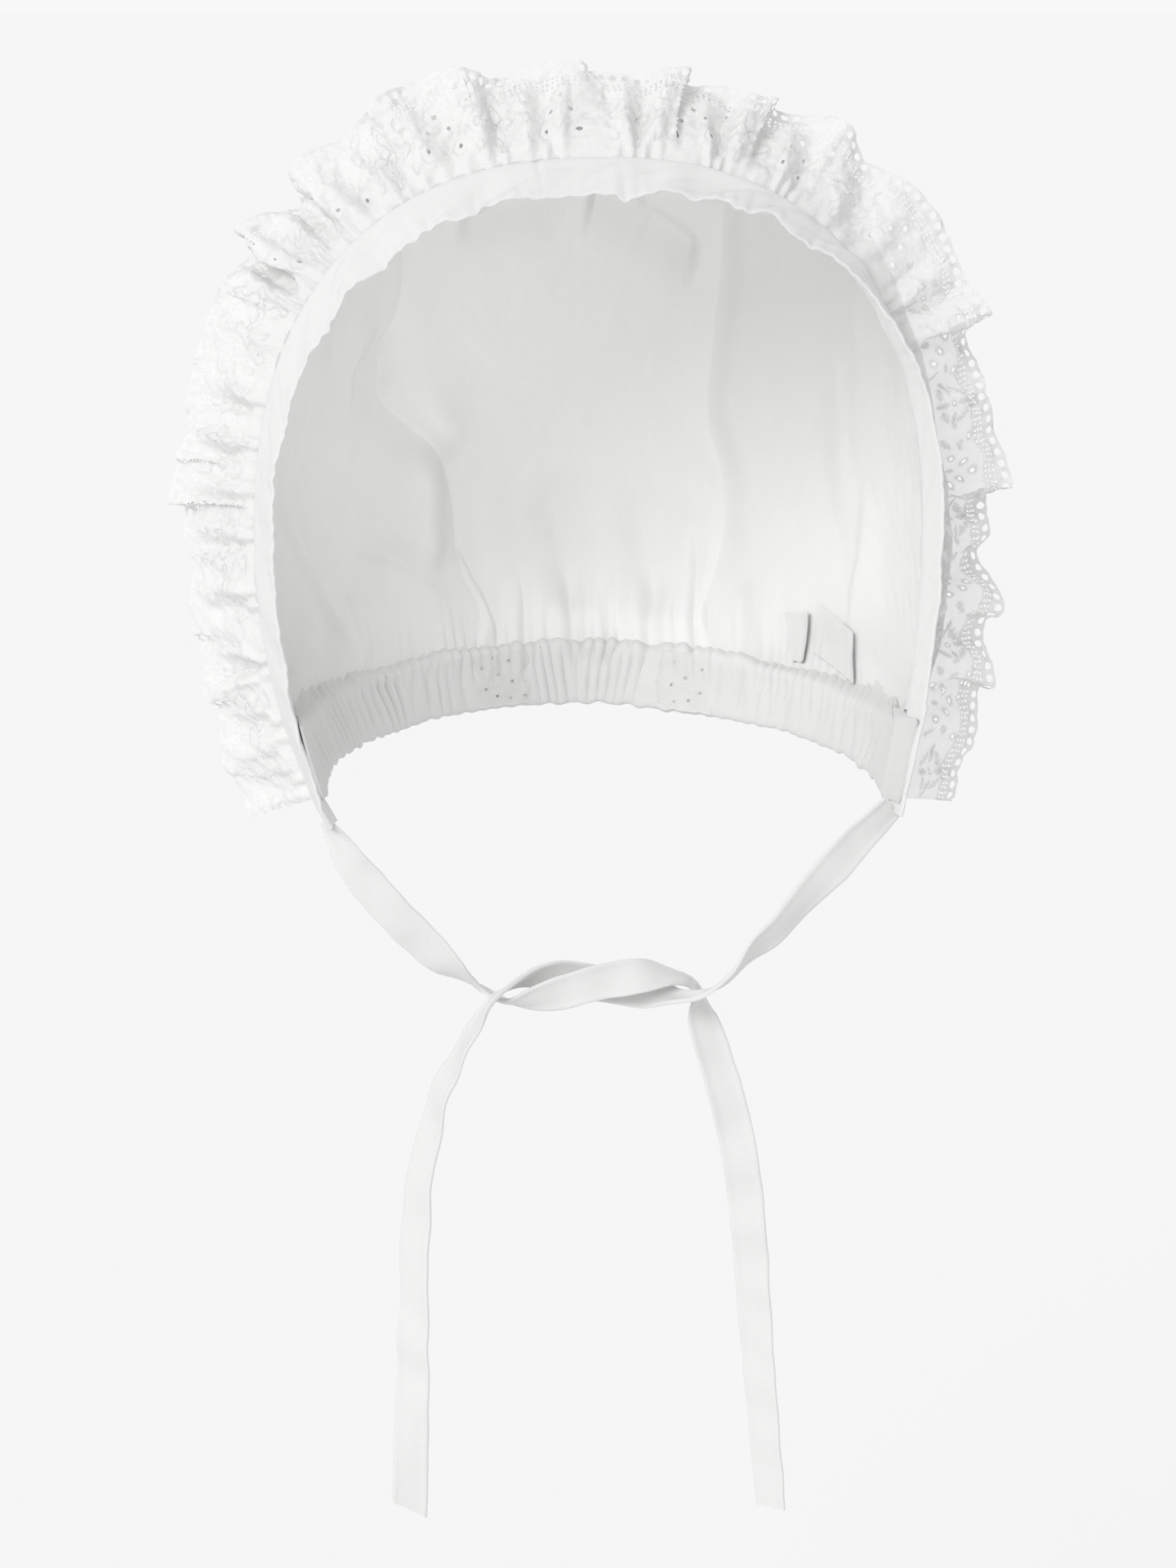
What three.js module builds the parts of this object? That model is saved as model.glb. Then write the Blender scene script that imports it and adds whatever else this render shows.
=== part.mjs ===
// A baby's bonnet: a three-panel cotton crown, a band round the face opening with a gathered
// eyelet frill sewn behind it, an elastic casing round the nape and two flat ties in a half knot.
// Millimetres. +Z is up, the face opening looks along -Y and +X is on the right of that view.
// The origin lies on the lining under the top of the crown, where the head holds the bonnet up.
import * as THREE from 'three';

// ---- driving sizes -------------------------------------------------------------------------
const PANEL_WALL = 1.4;       // crown panel with its lining
const BAND_WALL = 2.4;        // folded casing round the face opening
const NAPE_WALL = 2.4;        // folded casing with its elastic
const LACE_WALL = 1.0;        // frill and seam lace
const GAP = 0.3;              // left between neighbouring pieces
const SEAM_GAP = 0.9;         // between the cut edges of two panels, which meet at an angle
const SEAT_HEIGHT = 157.8;     // head seat above the lowest point of the front corners
const SEAT_DEPTH = 60;        // head seat behind the frill seam's plane

const CORNER_Y = 8;           // line on which all ribs of the crown start and end
const CORNER_Z = 20;
const FOOT_LEFT = 70;         // half widths of the crown on that line
const FOOT_RIGHT = 68;
const FRONT_DROP = 20;        // the front band runs this far below the corner line

// Ribs of the crown. Each is an arch in a plane through the corner line, tipped from upright (the
// frill seam) to nearly level (the nape seam). reach: corner line to the middle of the arch;
// left, right: greatest half widths; belly: how far along the reach they lie; square: 2 is an
// ellipse, more is fuller.
const RIBS = [
  { tilt: 4, reach: 90, left: 70.1, right: 68.1, belly: 0.5, square: 1.6 },
  { tilt: 10, reach: 101, left: 71, right: 70, belly: 12, square: 1.8 },
  { tilt: 18, reach: 114, left: 73, right: 73, belly: 26, square: 2.0 },
  { tilt: 30, reach: 129, left: 76, right: 76, belly: 38, square: 2.1 },
  { tilt: 45, reach: 147, left: 78, right: 79, belly: 46, square: 2.1 },
  { tilt: 60, reach: 154, left: 79, right: 79, belly: 48, square: 2.15 },
  { tilt: 75, reach: 142.5, left: 78, right: 75, belly: 45, square: 2.25 },
  { tilt: 90, reach: 122.5, left: 76, right: 71, belly: 40, square: 2.4 },
];

// The two seams between the centre panel and the side panels: distance from the middle at each rib.
const SEAMS = [
  { tilt: 4, left: 25, right: 32 },
  { tilt: 8, left: 23.5, right: 30 },
  { tilt: 13, left: 27, right: 34 },
  { tilt: 18, left: 28, right: 37 },
  { tilt: 24, left: 31, right: 37 },
  { tilt: 29, left: 40, right: 34 },
  { tilt: 33, left: 47, right: 34 },
  { tilt: 37, left: 49, right: 35 },
  { tilt: 42, left: 42, right: 36 },
  { tilt: 50, left: 41, right: 36 },
  { tilt: 70, left: 42, right: 31 },
  { tilt: 90, left: 42, right: 28 },
];

// Soft dents and swells of the crown, inward positive: across is measured from the middle of the
// rib, and the two spreads say how wide each one is.
const DENTS = [
  { tilt: 24, across: -40, inward: 9, tiltSpread: 11, acrossSpread: 13 },
  { tilt: 66, across: -58, inward: 4, tiltSpread: 12, acrossSpread: 12 },
  { tilt: 46, across: -60, inward: -3, tiltSpread: 7, acrossSpread: 10 },
  { tilt: 34, across: 62, inward: -2, tiltSpread: 16, acrossSpread: 14 },
];

// The front band: flare is how far its free edge stands outside (+) or inside (-) the frill seam,
// at a distance along the seam from the middle of the top.
const BAND_FLARE = [
  { along: -190, flare: -2.5 },
  { along: -110, flare: -3.3 },
  { along: -60, flare: -6.5 },
  { along: 0, flare: -7 },
  { along: 40, flare: -5 },
  { along: 75, flare: 0 },
  { along: 105, flare: 4 },
  { along: 190, flare: 2.5 },
];
const BAND_BACK = 7;          // the band's two edges, along Y
const BAND_FRONT = -1;

// The frill, a lace strip gathered into folds that stand up or lie back. along: where the crest of
// the fold is on the seam; crest, valley: how far the outer edge leans back there and behind it,
// in degrees; lap: how far the crest slides sideways over its neighbour; root: lean at the seam.
const FRILL_WIDTH = 25;
const FRILL_ROOT_OUT = 1.7;   // the lace starts this far outside the crown
const FRILL_ROOT_Y = 8.0;
const FOLDS = [
  { along: -188, crest: 44, valley: 52, lap: 0, root: 60 },
  { along: -176, crest: 44, valley: 50, lap: -1, root: 62 },
  { along: -160, crest: 38, valley: 54, lap: -3, root: 64 },
  { along: -147, crest: 46, valley: 48, lap: -2, root: 65 },
  { along: -131, crest: 40, valley: 46, lap: -2, root: 66 },
  { along: -121, crest: 26, valley: 36, lap: -2, root: 66 },
  { along: -112, crest: 28, valley: 38, lap: -2, root: 64 },
  { along: -102, crest: 38, valley: 42, lap: -2, root: 60 },
  { along: -92, crest: 42, valley: 42, lap: 0, root: 56 },
  { along: -80, crest: 28, valley: 60, lap: -1, root: 52 },
  { along: -69.2, crest: 20, valley: 66, lap: -3, root: 48 },
  { along: -56, crest: 26, valley: 46, lap: -1, root: 44 },
  { along: -41, crest: 0, valley: 22, lap: 0, root: 38 },
  { along: -26, crest: 10, valley: 46, lap: 0, root: 34 },
  { along: -8, crest: 34, valley: 46, lap: 3, root: 36 },
  { along: 13, crest: 32, valley: 58, lap: 4, root: 38 },
  { along: 29, crest: 30, valley: 56, lap: 4, root: 38 },
  { along: 43, crest: 20, valley: 36, lap: 2, root: 40 },
  { along: 60, crest: 22, valley: 22, lap: 0, root: 42 },
  { along: 80, crest: 4, valley: 52, lap: 4, root: 48 },
  { along: 99, crest: 28, valley: 34, lap: 0, root: 56 },
  { along: 114, crest: 14, valley: 44, lap: 3, root: 60 },
  { along: 124, crest: 36, valley: 54, lap: 1, root: 62 },
  { along: 140, crest: 18, valley: 36, lap: 2, root: 64 },
  { along: 155, crest: 16, valley: 40, lap: 3, root: 66 },
  { along: 170, crest: 30, valley: 38, lap: 1, root: 66 },
  { along: 184, crest: 42, valley: 48, lap: 0, root: 64 },
];
const SCALLOP_LENGTH = 34;    // one scallop of the lace edge, measured along the strip
const SCALLOP_DEPTH = 3.2;

const SEAM_LACE_WIDTH = 16;   // flat lace sewn into each crown seam, lying towards the middle
const SEAM_LACE_LENGTH = 215;
const SEAM_LACE_REPEAT = 21.5;
const SEAM_LACE_SCALLOP = 2.2;
const SEAM_LACE_FROM = 87.5;  // the ribs it runs between, by tilt
const SEAM_LACE_TO = 5;
const SEAM_LACE_CLEAR = 0.5;  // how far it lies off the cloth, beyond the usual gap

const NAPE_HEIGHT = 14;       // elastic casing at the middle of the nape
const NAPE_INSET = 2.5;       // its lower edge is drawn in by this much
const NAPE_SIDE_DROP = 2.2;   // and hangs this much lower at the right corner
const NAPE_RIPPLE = 0.55;     // gathers of the casing, and their spacing along it
const NAPE_PITCH = 5.2;

// The ties: flat tapes, each from its corner through the half knot to its free end. turn is how far
// the flat face is turned from the front, in degrees about the tape's own length.
const TIE_THICKNESS = 1.0;
const LEFT_TIE = [
  { x: -61.9, y: 3.2, z: -1.5, turn: 55, width: 6 },
  { x: -58.5, y: 1.6, z: -8, turn: 25, width: 7.6 },
  { x: -53, y: 0.8, z: -15.4, turn: 12, width: 8 },
  { x: -45.4, y: 0.5, z: -24.1, turn: 10, width: 8 },
  { x: -36.4, y: 1.5, z: -33.2, turn: 28, width: 8 },
  { x: -27.5, y: 3.9, z: -40.4, turn: 85, width: 4.5 },
  { x: -21.5, y: 1.2, z: -42.9, turn: 72, width: 5.4 },
  { x: -13.5, y: -2, z: -41.4, turn: 22, width: 8 },
  { x: -3, y: -3.2, z: -38.2, turn: 0, width: 8 },
  { x: 7, y: -2.4, z: -36.8, turn: -25, width: 8 },
  { x: 15, y: 0.6, z: -37.4, turn: -60, width: 5.4 },
  { x: 20.2, y: 3.9, z: -40.8, turn: -70, width: 4.5 },
  { x: 21.8, y: 3.4, z: -47.6, turn: -20, width: 7.4 },
  { x: 25.4, y: 1.5, z: -59, turn: -5, width: 8 },
  { x: 29.6, y: 1, z: -76, turn: 5, width: 8 },
  { x: 32, y: 1, z: -94, turn: 15, width: 8 },
  { x: 33.4, y: 1, z: -113, turn: 25, width: 8 },
  { x: 35, y: 1, z: -132, turn: 35, width: 8 },
  { x: 37.2, y: 1, z: -159, turn: 42, width: 8 },
];
const RIGHT_TIE = [
  { x: 63.6, y: 3.2, z: -0.3, turn: -30, width: 7 },
  { x: 55.1, y: 1.4, z: -8.6, turn: -15, width: 8 },
  { x: 46.4, y: 0.6, z: -18, turn: -22, width: 8 },
  { x: 37.4, y: -0.2, z: -27.7, turn: -42, width: 8 },
  { x: 28.4, y: -1.8, z: -35.9, turn: -70, width: 7 },
  { x: 21.6, y: -3.9, z: -40.8, turn: -92, width: 4.5 },
  { x: 16.2, y: -1.2, z: -42, turn: -118, width: 5.4 },
  { x: 9, y: 1.6, z: -40.8, turn: -155, width: 8 },
  { x: -1, y: 2.6, z: -39.2, turn: -178, width: 8 },
  { x: -11, y: 2.2, z: -37.4, turn: -198, width: 8 },
  { x: -19.4, y: -0.2, z: -37.9, turn: -240, width: 5.4 },
  { x: -25.6, y: -3.9, z: -41.8, turn: -268, width: 4.5 },
  { x: -28.6, y: -2.8, z: -46.6, turn: -282, width: 7.4 },
  { x: -35.2, y: -0.5, z: -59.4, turn: -294, width: 8 },
  { x: -40.4, y: 0.5, z: -77, turn: -308, width: 8 },
  { x: -42.4, y: 1, z: -94, turn: -315, width: 8 },
  { x: -42.8, y: 1, z: -112, turn: -322, width: 8 },
  { x: -43.2, y: 1, z: -131, turn: -335, width: 8 },
  { x: -44, y: 1, z: -158, turn: -355, width: 8 },
];
const TIE_STEPS = 40;

// Two bare labels sewn inside the right panel, just above the nape casing: tilt and across place
// the middle of each on the crown, and lean turns it in its own plane.
const LABELS = [
  { name: 'size_tag', tilt: 8.8, across: 63, width: 8, height: 9, lean: -4 },
  { name: 'neck_label', tilt: 9.8, across: 79, width: 18.5, height: 11, lean: -4 },
];

// ---- tables --------------------------------------------------------------------------------

// One column of a table at any place between its rows, on a smooth curve through them.
function read(table, key, at, column) {
  const last = table.length - 1;
  const t = Math.min(Math.max(at, table[0][key]), table[last][key]);
  let i = 0;
  while (i < last - 1 && t > table[i + 1][key]) i += 1;
  const slope = (a, b) => (table[b][column] - table[a][column]) / (table[b][key] - table[a][key]);
  const here = slope(i, i + 1);
  const before = i > 0 ? (slope(i - 1, i) + here) / 2 : here;
  const after = i + 2 <= last ? (slope(i + 1, i + 2) + here) / 2 : here;
  const span = table[i + 1][key] - table[i][key];
  const s = (t - table[i][key]) / span;
  const h = s * s * (3 - 2 * s);
  return table[i][column] * (1 - h) + table[i + 1][column] * h
    + span * s * (1 - s) * ((1 - s) * before - s * after);
}

// ---- crown ---------------------------------------------------------------------------------

// Half of a rib from its middle outwards, as points with their running length. below is how far
// the arch goes on past the corner line.
const ribCache = new Map();
function halfRib(tilt, side, below) {
  const key = `${tilt.toFixed(4)} ${side} ${below}`;
  if (ribCache.has(key)) return ribCache.get(key);
  const reach = read(RIBS, 'tilt', tilt, 'reach');
  const half = read(RIBS, 'tilt', tilt, side < 0 ? 'left' : 'right');
  const belly = read(RIBS, 'tilt', tilt, 'belly');
  const square = read(RIBS, 'tilt', tilt, 'square');
  const foot = Math.min(side < 0 ? FOOT_LEFT : FOOT_RIGHT, half - 0.02);
  const low = belly / Math.sqrt(1 - (foot / half) ** 2);
  const points = [];
  const steps = 120;
  for (let i = 0; i <= steps; i += 1) {
    const a = (Math.PI / 2) * (1 - i / steps);
    const x = half * Math.max(Math.cos(a), 0) ** (2 / square);
    points.push([x, belly + (reach - belly) * Math.sin(a) ** (2 / square)]);
  }
  const end = Math.asin(Math.min((belly + below) / low, 1));
  for (let i = 1; i <= steps; i += 1) {
    const a = (end * i) / steps;
    points.push([half * Math.cos(a), belly - low * Math.sin(a)]);
  }
  const run = [0];
  for (let i = 1; i < points.length; i += 1) {
    run.push(run[i - 1] + Math.hypot(points[i][0] - points[i - 1][0], points[i][1] - points[i - 1][1]));
  }
  const rib = { points, run, length: run[run.length - 1] };
  ribCache.set(key, rib);
  return rib;
}

// The point a given length along a rib from its middle, negative to the left: x and reach.
function alongRib(tilt, length, below = 0) {
  const side = length < 0 ? -1 : 1;
  const rib = halfRib(tilt, side, below);
  const want = Math.min(Math.abs(length), rib.length);
  let i = 1;
  while (i < rib.run.length - 1 && rib.run[i] < want) i += 1;
  const s = (want - rib.run[i - 1]) / (rib.run[i] - rib.run[i - 1]);
  const [a, b] = [rib.points[i - 1], rib.points[i]];
  return { x: side * (a[0] + s * (b[0] - a[0])), reach: a[1] + s * (b[1] - a[1]) };
}

// How far along the rib a seam lies, from its distance to the middle.
function seamLength(tilt, side) {
  const want = read(SEAMS, 'tilt', tilt, side < 0 ? 'left' : 'right');
  const rib = halfRib(tilt, side, 0);
  let i = 1;
  while (i < rib.points.length - 1 && rib.points[i][0] < want) i += 1;
  const [a, b] = [rib.points[i - 1], rib.points[i]];
  const s = (want - a[0]) / (b[0] - a[0]);
  return side * (rib.run[i - 1] + s * (rib.run[i] - rib.run[i - 1]));
}

function dentDepth(tilt, length) {
  return DENTS.reduce((sum, d) => {
    const t = (tilt - d.tilt) / d.tiltSpread;
    const a = (length - d.across) / d.acrossSpread;
    return sum + d.inward * Math.exp(-t * t - a * a);
  }, 0);
}

// A point of the crown's middle surface; out moves it away from the head.
const HEAD = new THREE.Vector3(0, 52, 70);
function crownPoint(tilt, length, out = 0) {
  const { x, reach } = alongRib(tilt, length);
  const angle = THREE.MathUtils.degToRad(tilt);
  const p = new THREE.Vector3(x, CORNER_Y + reach * Math.cos(angle), CORNER_Z + reach * Math.sin(angle));
  const outward = p.clone().sub(HEAD).normalize();
  return p.addScaledVector(outward, out - dentDepth(tilt, length));
}

// Gathers above the nape seam, fading up the panel over so many degrees of tilt.
const GATHER_DEPTH = 1.0;
const GATHER_PITCH = 8.2;
const GATHER_FADE = 9;
function gather(tilt, x) {
  const fade = Math.exp(-(tilt - RIBS[0].tilt) / GATHER_FADE);
  return GATHER_DEPTH * fade * Math.sin((2 * Math.PI * x) / GATHER_PITCH);
}

// ---- closed walls ---------------------------------------------------------------------------

// A wall of even thickness on both sides of a grid of points, closed all round.
function wall(point, columns, rows, thickness) {
  const grid = [];
  for (let i = 0; i <= columns; i += 1) {
    for (let j = 0; j <= rows; j += 1) grid.push(point(i / columns, j / rows));
  }
  const at = (i, j) => grid[i * (rows + 1) + j];
  const positions = [];
  const layer = (sign) => {
    for (let i = 0; i <= columns; i += 1) {
      for (let j = 0; j <= rows; j += 1) {
        const du = at(Math.min(i + 1, columns), j).clone().sub(at(Math.max(i - 1, 0), j));
        const dv = at(i, Math.min(j + 1, rows)).clone().sub(at(i, Math.max(j - 1, 0)));
        const normal = du.cross(dv).normalize();
        const p = at(i, j).clone().addScaledVector(normal, (sign * thickness) / 2);
        positions.push(p.x, p.y, p.z);
      }
    }
  };
  layer(1);
  layer(-1);
  const count = (columns + 1) * (rows + 1);
  const index = [];
  const quad = (a, b, c, d) => index.push(a, b, c, a, c, d);
  for (let i = 0; i < columns; i += 1) {
    for (let j = 0; j < rows; j += 1) {
      const a = i * (rows + 1) + j;
      const b = a + rows + 1;
      quad(a, b, b + 1, a + 1);
      quad(count + a, count + a + 1, count + b + 1, count + b);
    }
  }
  for (let i = 0; i < columns; i += 1) {
    const a = i * (rows + 1);
    const b = a + rows + 1;
    quad(a, count + a, count + b, b);
    quad(b + rows, count + b + rows, count + a + rows, a + rows);
  }
  for (let j = 0; j < rows; j += 1) {
    quad(j + 1, count + j + 1, count + j, j);
    const c = columns * (rows + 1) + j;
    quad(c, count + c, count + c + 1, c + 1);
  }
  const geometry = new THREE.BufferGeometry();
  geometry.setAttribute('position', new THREE.Float32BufferAttribute(positions, 3));
  geometry.setIndex(index);
  geometry.computeVertexNormals();
  return geometry;
}

// ---- pieces --------------------------------------------------------------------------------

const group = new THREE.Group();
function add(name, geometry, color, roughness) {
  const material = new THREE.MeshStandardMaterial({ color, roughness, metalness: 0 });
  const mesh = new THREE.Mesh(geometry, material);
  mesh.name = name;
  mesh.position.set(0, -SEAT_DEPTH, -SEAT_HEIGHT);
  group.add(mesh);
}
const COTTON = 0xf3f3f2;
const LACE = 0xf6f6f5;

const TOP_TILT = 90;
const NAPE_TILT = 4;
const PANEL_ROWS = 20;        // the same in all three panels, so that they meet along their seams
const tiltAt = (v) => TOP_TILT + (NAPE_TILT - TOP_TILT) * v;

// The centre panel runs from the face over the crown down to the nape.
add('crown_panel', wall((u, v) => {
  const tilt = tiltAt(v);
  const from = seamLength(tilt, -1) + SEAM_GAP / 2;
  const to = seamLength(tilt, 1) - SEAM_GAP / 2;
  const length = from + (to - from) * u;
  return crownPoint(tilt, length, gather(tilt, length));
}, 22, PANEL_ROWS, PANEL_WALL), COTTON, 0.85);

// Each side panel fills the rest of the ribs, down to the front corner.
function sidePanel(side) {
  const cornerCut = 1.5;
  return wall((u, v) => {
    const tilt = tiltAt(v);
    const from = seamLength(tilt, side) + side * (SEAM_GAP / 2);
    const to = side * (halfRib(tilt, side, 0).length - cornerCut);
    const w = side < 0 ? 1 - u : u;
    const length = from + (to - from) * w;
    const fade = Math.exp(-(((length - from) / 14) ** 2));
    return crownPoint(tilt, length, fade * gather(tilt, length));
  }, 9, PANEL_ROWS, PANEL_WALL);
}
add('side_panel_left', sidePanel(-1), COTTON, 0.85);
add('side_panel_right', sidePanel(1), COTTON, 0.85);

// The face arch: the frill seam carried on down to the front corners.
const archEnd = (side) => side * halfRib(TOP_TILT, side, FRONT_DROP).length;
function archPoint(length) {
  const { x, reach } = alongRib(TOP_TILT, length, FRONT_DROP);
  return new THREE.Vector2(x, CORNER_Z + reach);
}
function archOutward(length) {
  const inside = 0.5;
  const from = Math.max(archEnd(-1), length - inside);
  const to = Math.min(archEnd(1), length + inside);
  const run = archPoint(to).sub(archPoint(from)).normalize();
  return new THREE.Vector2(-run.y, run.x);
}

add('front_band', wall((u, v) => {
  const length = archEnd(-1) + (archEnd(1) - archEnd(-1)) * u;
  const flare = read(BAND_FLARE, 'along', length, 'flare') * v * (2 - v) ** 0.5;
  const p = archPoint(length).addScaledVector(archOutward(length), flare);
  return new THREE.Vector3(p.x, BAND_BACK + (BAND_FRONT - BAND_BACK) * v, p.y);
}, 56, 2, BAND_WALL), COTTON, 0.85);

// The nape casing hangs from the crown's lowest rib.
function napeLowerEdge(x, y) {
  const drop = NAPE_SIDE_DROP * THREE.MathUtils.smoothstep(x, 0, FOOT_RIGHT);
  return 3 + 9 * (1 - Math.exp(-(y - CORNER_Y) / 25)) - drop;
}

// Its ends are drawn in beside the front band, whose corners lean towards each other.
function cornerTuck(side, y, z) {
  const foot = side < 0 ? FOOT_LEFT : FOOT_RIGHT;
  const lean = foot - Math.abs(archPoint(archEnd(side)).x);
  const low = Math.min(Math.max((CORNER_Z - z) / FRONT_DROP, 0), 1);
  return 2.2 * Math.exp(-(y - CORNER_Y) / 25) + lean * low * Math.exp(-(((y - CORNER_Y) / 60) ** 2));
}
add('nape_band', wall((u, v) => {
  const ends = 1.2;
  const from = -(halfRib(NAPE_TILT, -1, 0).length - ends);
  const to = halfRib(NAPE_TILT, 1, 0).length - ends;
  const length = from + (to - from) * u;
  const p = crownPoint(NAPE_TILT, length, NAPE_RIPPLE * Math.sin((2 * Math.PI * length) / NAPE_PITCH));
  const top = p.z - PANEL_WALL / 2 - 2 * GAP;
  const inward = new THREE.Vector3(-p.x, 30 - p.y, 0).normalize();
  const back = THREE.MathUtils.smoothstep(p.y, CORNER_Y, 60);
  const bottom = Math.min(napeLowerEdge(p.x, p.y), top - NAPE_HEIGHT * 0.9);
  p.addScaledVector(inward, NAPE_INSET * back * v);
  p.z = top + (bottom - top) * v;
  p.x -= Math.sign(p.x) * Math.min(cornerTuck(Math.sign(p.x), p.y, p.z), Math.abs(p.x));
  return p;
}, 72, 2, NAPE_WALL), COTTON, 0.85);

// The frill. phase counts its folds; whole numbers are crests.
function frillPoint(phase, across) {
  const i = Math.min(Math.floor(phase), FOLDS.length - 2);
  const s = phase - i;
  const blend = s * s * (3 - 2 * s);
  const mix = (column) => FOLDS[i][column] + (FOLDS[i + 1][column] - FOLDS[i][column]) * blend;
  const along = FOLDS[i].along + (FOLDS[i + 1].along - FOLDS[i].along) * s;
  const wave = (1 + Math.cos(2 * Math.PI * s)) / 2;
  const tip = THREE.MathUtils.degToRad(mix('crest') * wave + FOLDS[i].valley * (1 - wave));
  const root = THREE.MathUtils.degToRad(mix('root'));
  let out = FRILL_ROOT_OUT;
  let y = FRILL_ROOT_Y;
  const steps = 8;
  for (let k = 0; k < steps; k += 1) {
    const w = ((k + 0.5) / steps) * (across / FRILL_WIDTH);
    const lean = (root + (tip - root) * w ** 0.7) * (0.4 + 0.6 * THREE.MathUtils.smoothstep(w, 0, 0.2));
    out += (across / steps) * Math.cos(lean);
    y += (across / steps) * Math.sin(lean);
  }
  const slide = mix('lap') * (across / FRILL_WIDTH) ** 1.3 * Math.cos(2 * Math.PI * s);
  const low = archEnd(-1) + 1;
  const high = archEnd(1) - 1;
  const length = Math.min(Math.max(along, low), high);
  const outward = archOutward(length);
  const p = archPoint(length).addScaledVector(outward, out);
  p.x += slide * outward.y;
  p.y -= slide * outward.x;
  return new THREE.Vector3(p.x, y, p.y);
}

// Distance along the strip at each phase, from the length of its outer edge.
const FOLD_STEPS = 5;
const stripRun = [0];
for (let k = 1; k <= (FOLDS.length - 1) * 24; k += 1) {
  const here = frillPoint(k / 24, FRILL_WIDTH * 0.9);
  const before = frillPoint((k - 1) / 24, FRILL_WIDTH * 0.9);
  stripRun.push(stripRun[k - 1] + here.distanceTo(before));
}
function stripLength(phase) {
  const k = Math.min(Math.floor(phase * 24), stripRun.length - 2);
  return stripRun[k] + (stripRun[k + 1] - stripRun[k]) * (phase * 24 - k);
}
function scallop(strip, repeat, depth) {
  const s = Math.abs(Math.sin((Math.PI * strip) / repeat));
  return depth * (1 - s ** 0.75);
}
add('face_frill', wall((u, v) => {
  const phase = u * (FOLDS.length - 1);
  const width = FRILL_WIDTH - scallop(stripLength(phase), SCALLOP_LENGTH, SCALLOP_DEPTH);
  return frillPoint(phase, width * v);
}, (FOLDS.length - 1) * FOLD_STEPS, 4, LACE_WALL), LACE, 0.9);

// Flat lace caught in each crown seam, lying on the centre panel with its scallops inwards.
function seamLace(side) {
  const lift = PANEL_WALL / 2 + 2 * GAP + LACE_WALL / 2;
  return wall((u, v) => {
    const tilt = SEAM_LACE_FROM + (SEAM_LACE_TO - SEAM_LACE_FROM) * u;
    const width = SEAM_LACE_WIDTH - scallop(SEAM_LACE_LENGTH * u, SEAM_LACE_REPEAT, SEAM_LACE_SCALLOP);
    const w = side < 0 ? v : 1 - v;
    const length = seamLength(tilt, side) - side * (0.5 + width * w);
    const rise = gather(tilt, length) + 0.9 * w * Math.exp(-(tilt - 4) / 12);
    return crownPoint(tilt, length, lift + Math.max(rise, 0.25 * w) + SEAM_LACE_CLEAR);
  }, 24, 3, LACE_WALL);
}
add('seam_lace_left', seamLace(-1), LACE, 0.9);
add('seam_lace_right', seamLace(1), LACE, 0.9);

// A tape: extruded straight with an eight-sided section, then laid along its path.
function tape(rows) {
  const path = new THREE.CatmullRomCurve3(rows.map((r) => new THREE.Vector3(r.x, r.y, r.z)));
  const stations = rows.map((r, i) => ({ at: i / (rows.length - 1), turn: r.turn, width: r.width }));
  const h = TIE_THICKNESS / 2;
  const section = new THREE.Shape([
    [-0.5, -0.5 * h], [-0.46, -h], [0.46, -h], [0.5, -0.5 * h],
    [0.5, 0.5 * h], [0.46, h], [-0.46, h], [-0.5, 0.5 * h],
  ].map(([x, y]) => new THREE.Vector2(x, y)));
  const geometry = new THREE.ExtrudeGeometry(section, { steps: TIE_STEPS, depth: 1, bevelEnabled: false });
  geometry.deleteAttribute('uv');
  geometry.deleteAttribute('normal');
  const position = geometry.getAttribute('position');
  for (let i = 0; i < position.count; i += 1) {
    const at = Math.min(Math.max(position.getZ(i), 0), 1);
    const centre = path.getPoint(at);
    const tangent = path.getTangent(at);
    const face = new THREE.Vector3(0, -1, 0).addScaledVector(tangent, tangent.y).normalize();
    face.applyAxisAngle(tangent, THREE.MathUtils.degToRad(read(stations, 'at', at, 'turn')));
    const across = new THREE.Vector3().crossVectors(face, tangent);
    const width = read(stations, 'at', at, 'width');
    const p = centre.addScaledVector(across, position.getX(i) * width);
    p.addScaledVector(face, position.getY(i));
    position.setXYZ(i, p.x, p.y, p.z);
  }
  return geometry;
}
add('tie_left', tape(LEFT_TIE), COTTON, 0.85);
add('tie_right', tape(RIGHT_TIE), COTTON, 0.85);

// The bare labels lie against the inside of the right panel.
for (const label of LABELS) {
  const inset = -(PANEL_WALL / 2 + GAP + 1.0);
  const lean = THREE.MathUtils.degToRad(label.lean);
  const degreesPerMm = 0.55;
  add(label.name, wall((u, v) => {
    const x = (u - 0.5) * label.width;
    const y = (v - 0.5) * label.height;
    const across = label.across + x * Math.cos(lean) - y * Math.sin(lean);
    const tilt = label.tilt + degreesPerMm * (x * Math.sin(lean) + y * Math.cos(lean));
    return crownPoint(tilt, across, inset);
  }, 3, 3, 0.8), COTTON, 0.8);
}

export default group;
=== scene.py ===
"""A baby's bonnet in white cotton: panelled crown, stitched front band, gathered eyelet frill,
elastic nape casing, lace in the crown seams and two tape ties in a half knot.

Shapes are worked out in millimetres in the bonnet's own frame: x to the right, y backwards from
the frill seam, z up from the front corners. place() turns them into metres in the part's frame.
"""

import math

import bpy
import numpy as np
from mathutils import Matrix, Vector
from mathutils.geometry import delaunay_2d_cdt


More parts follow.
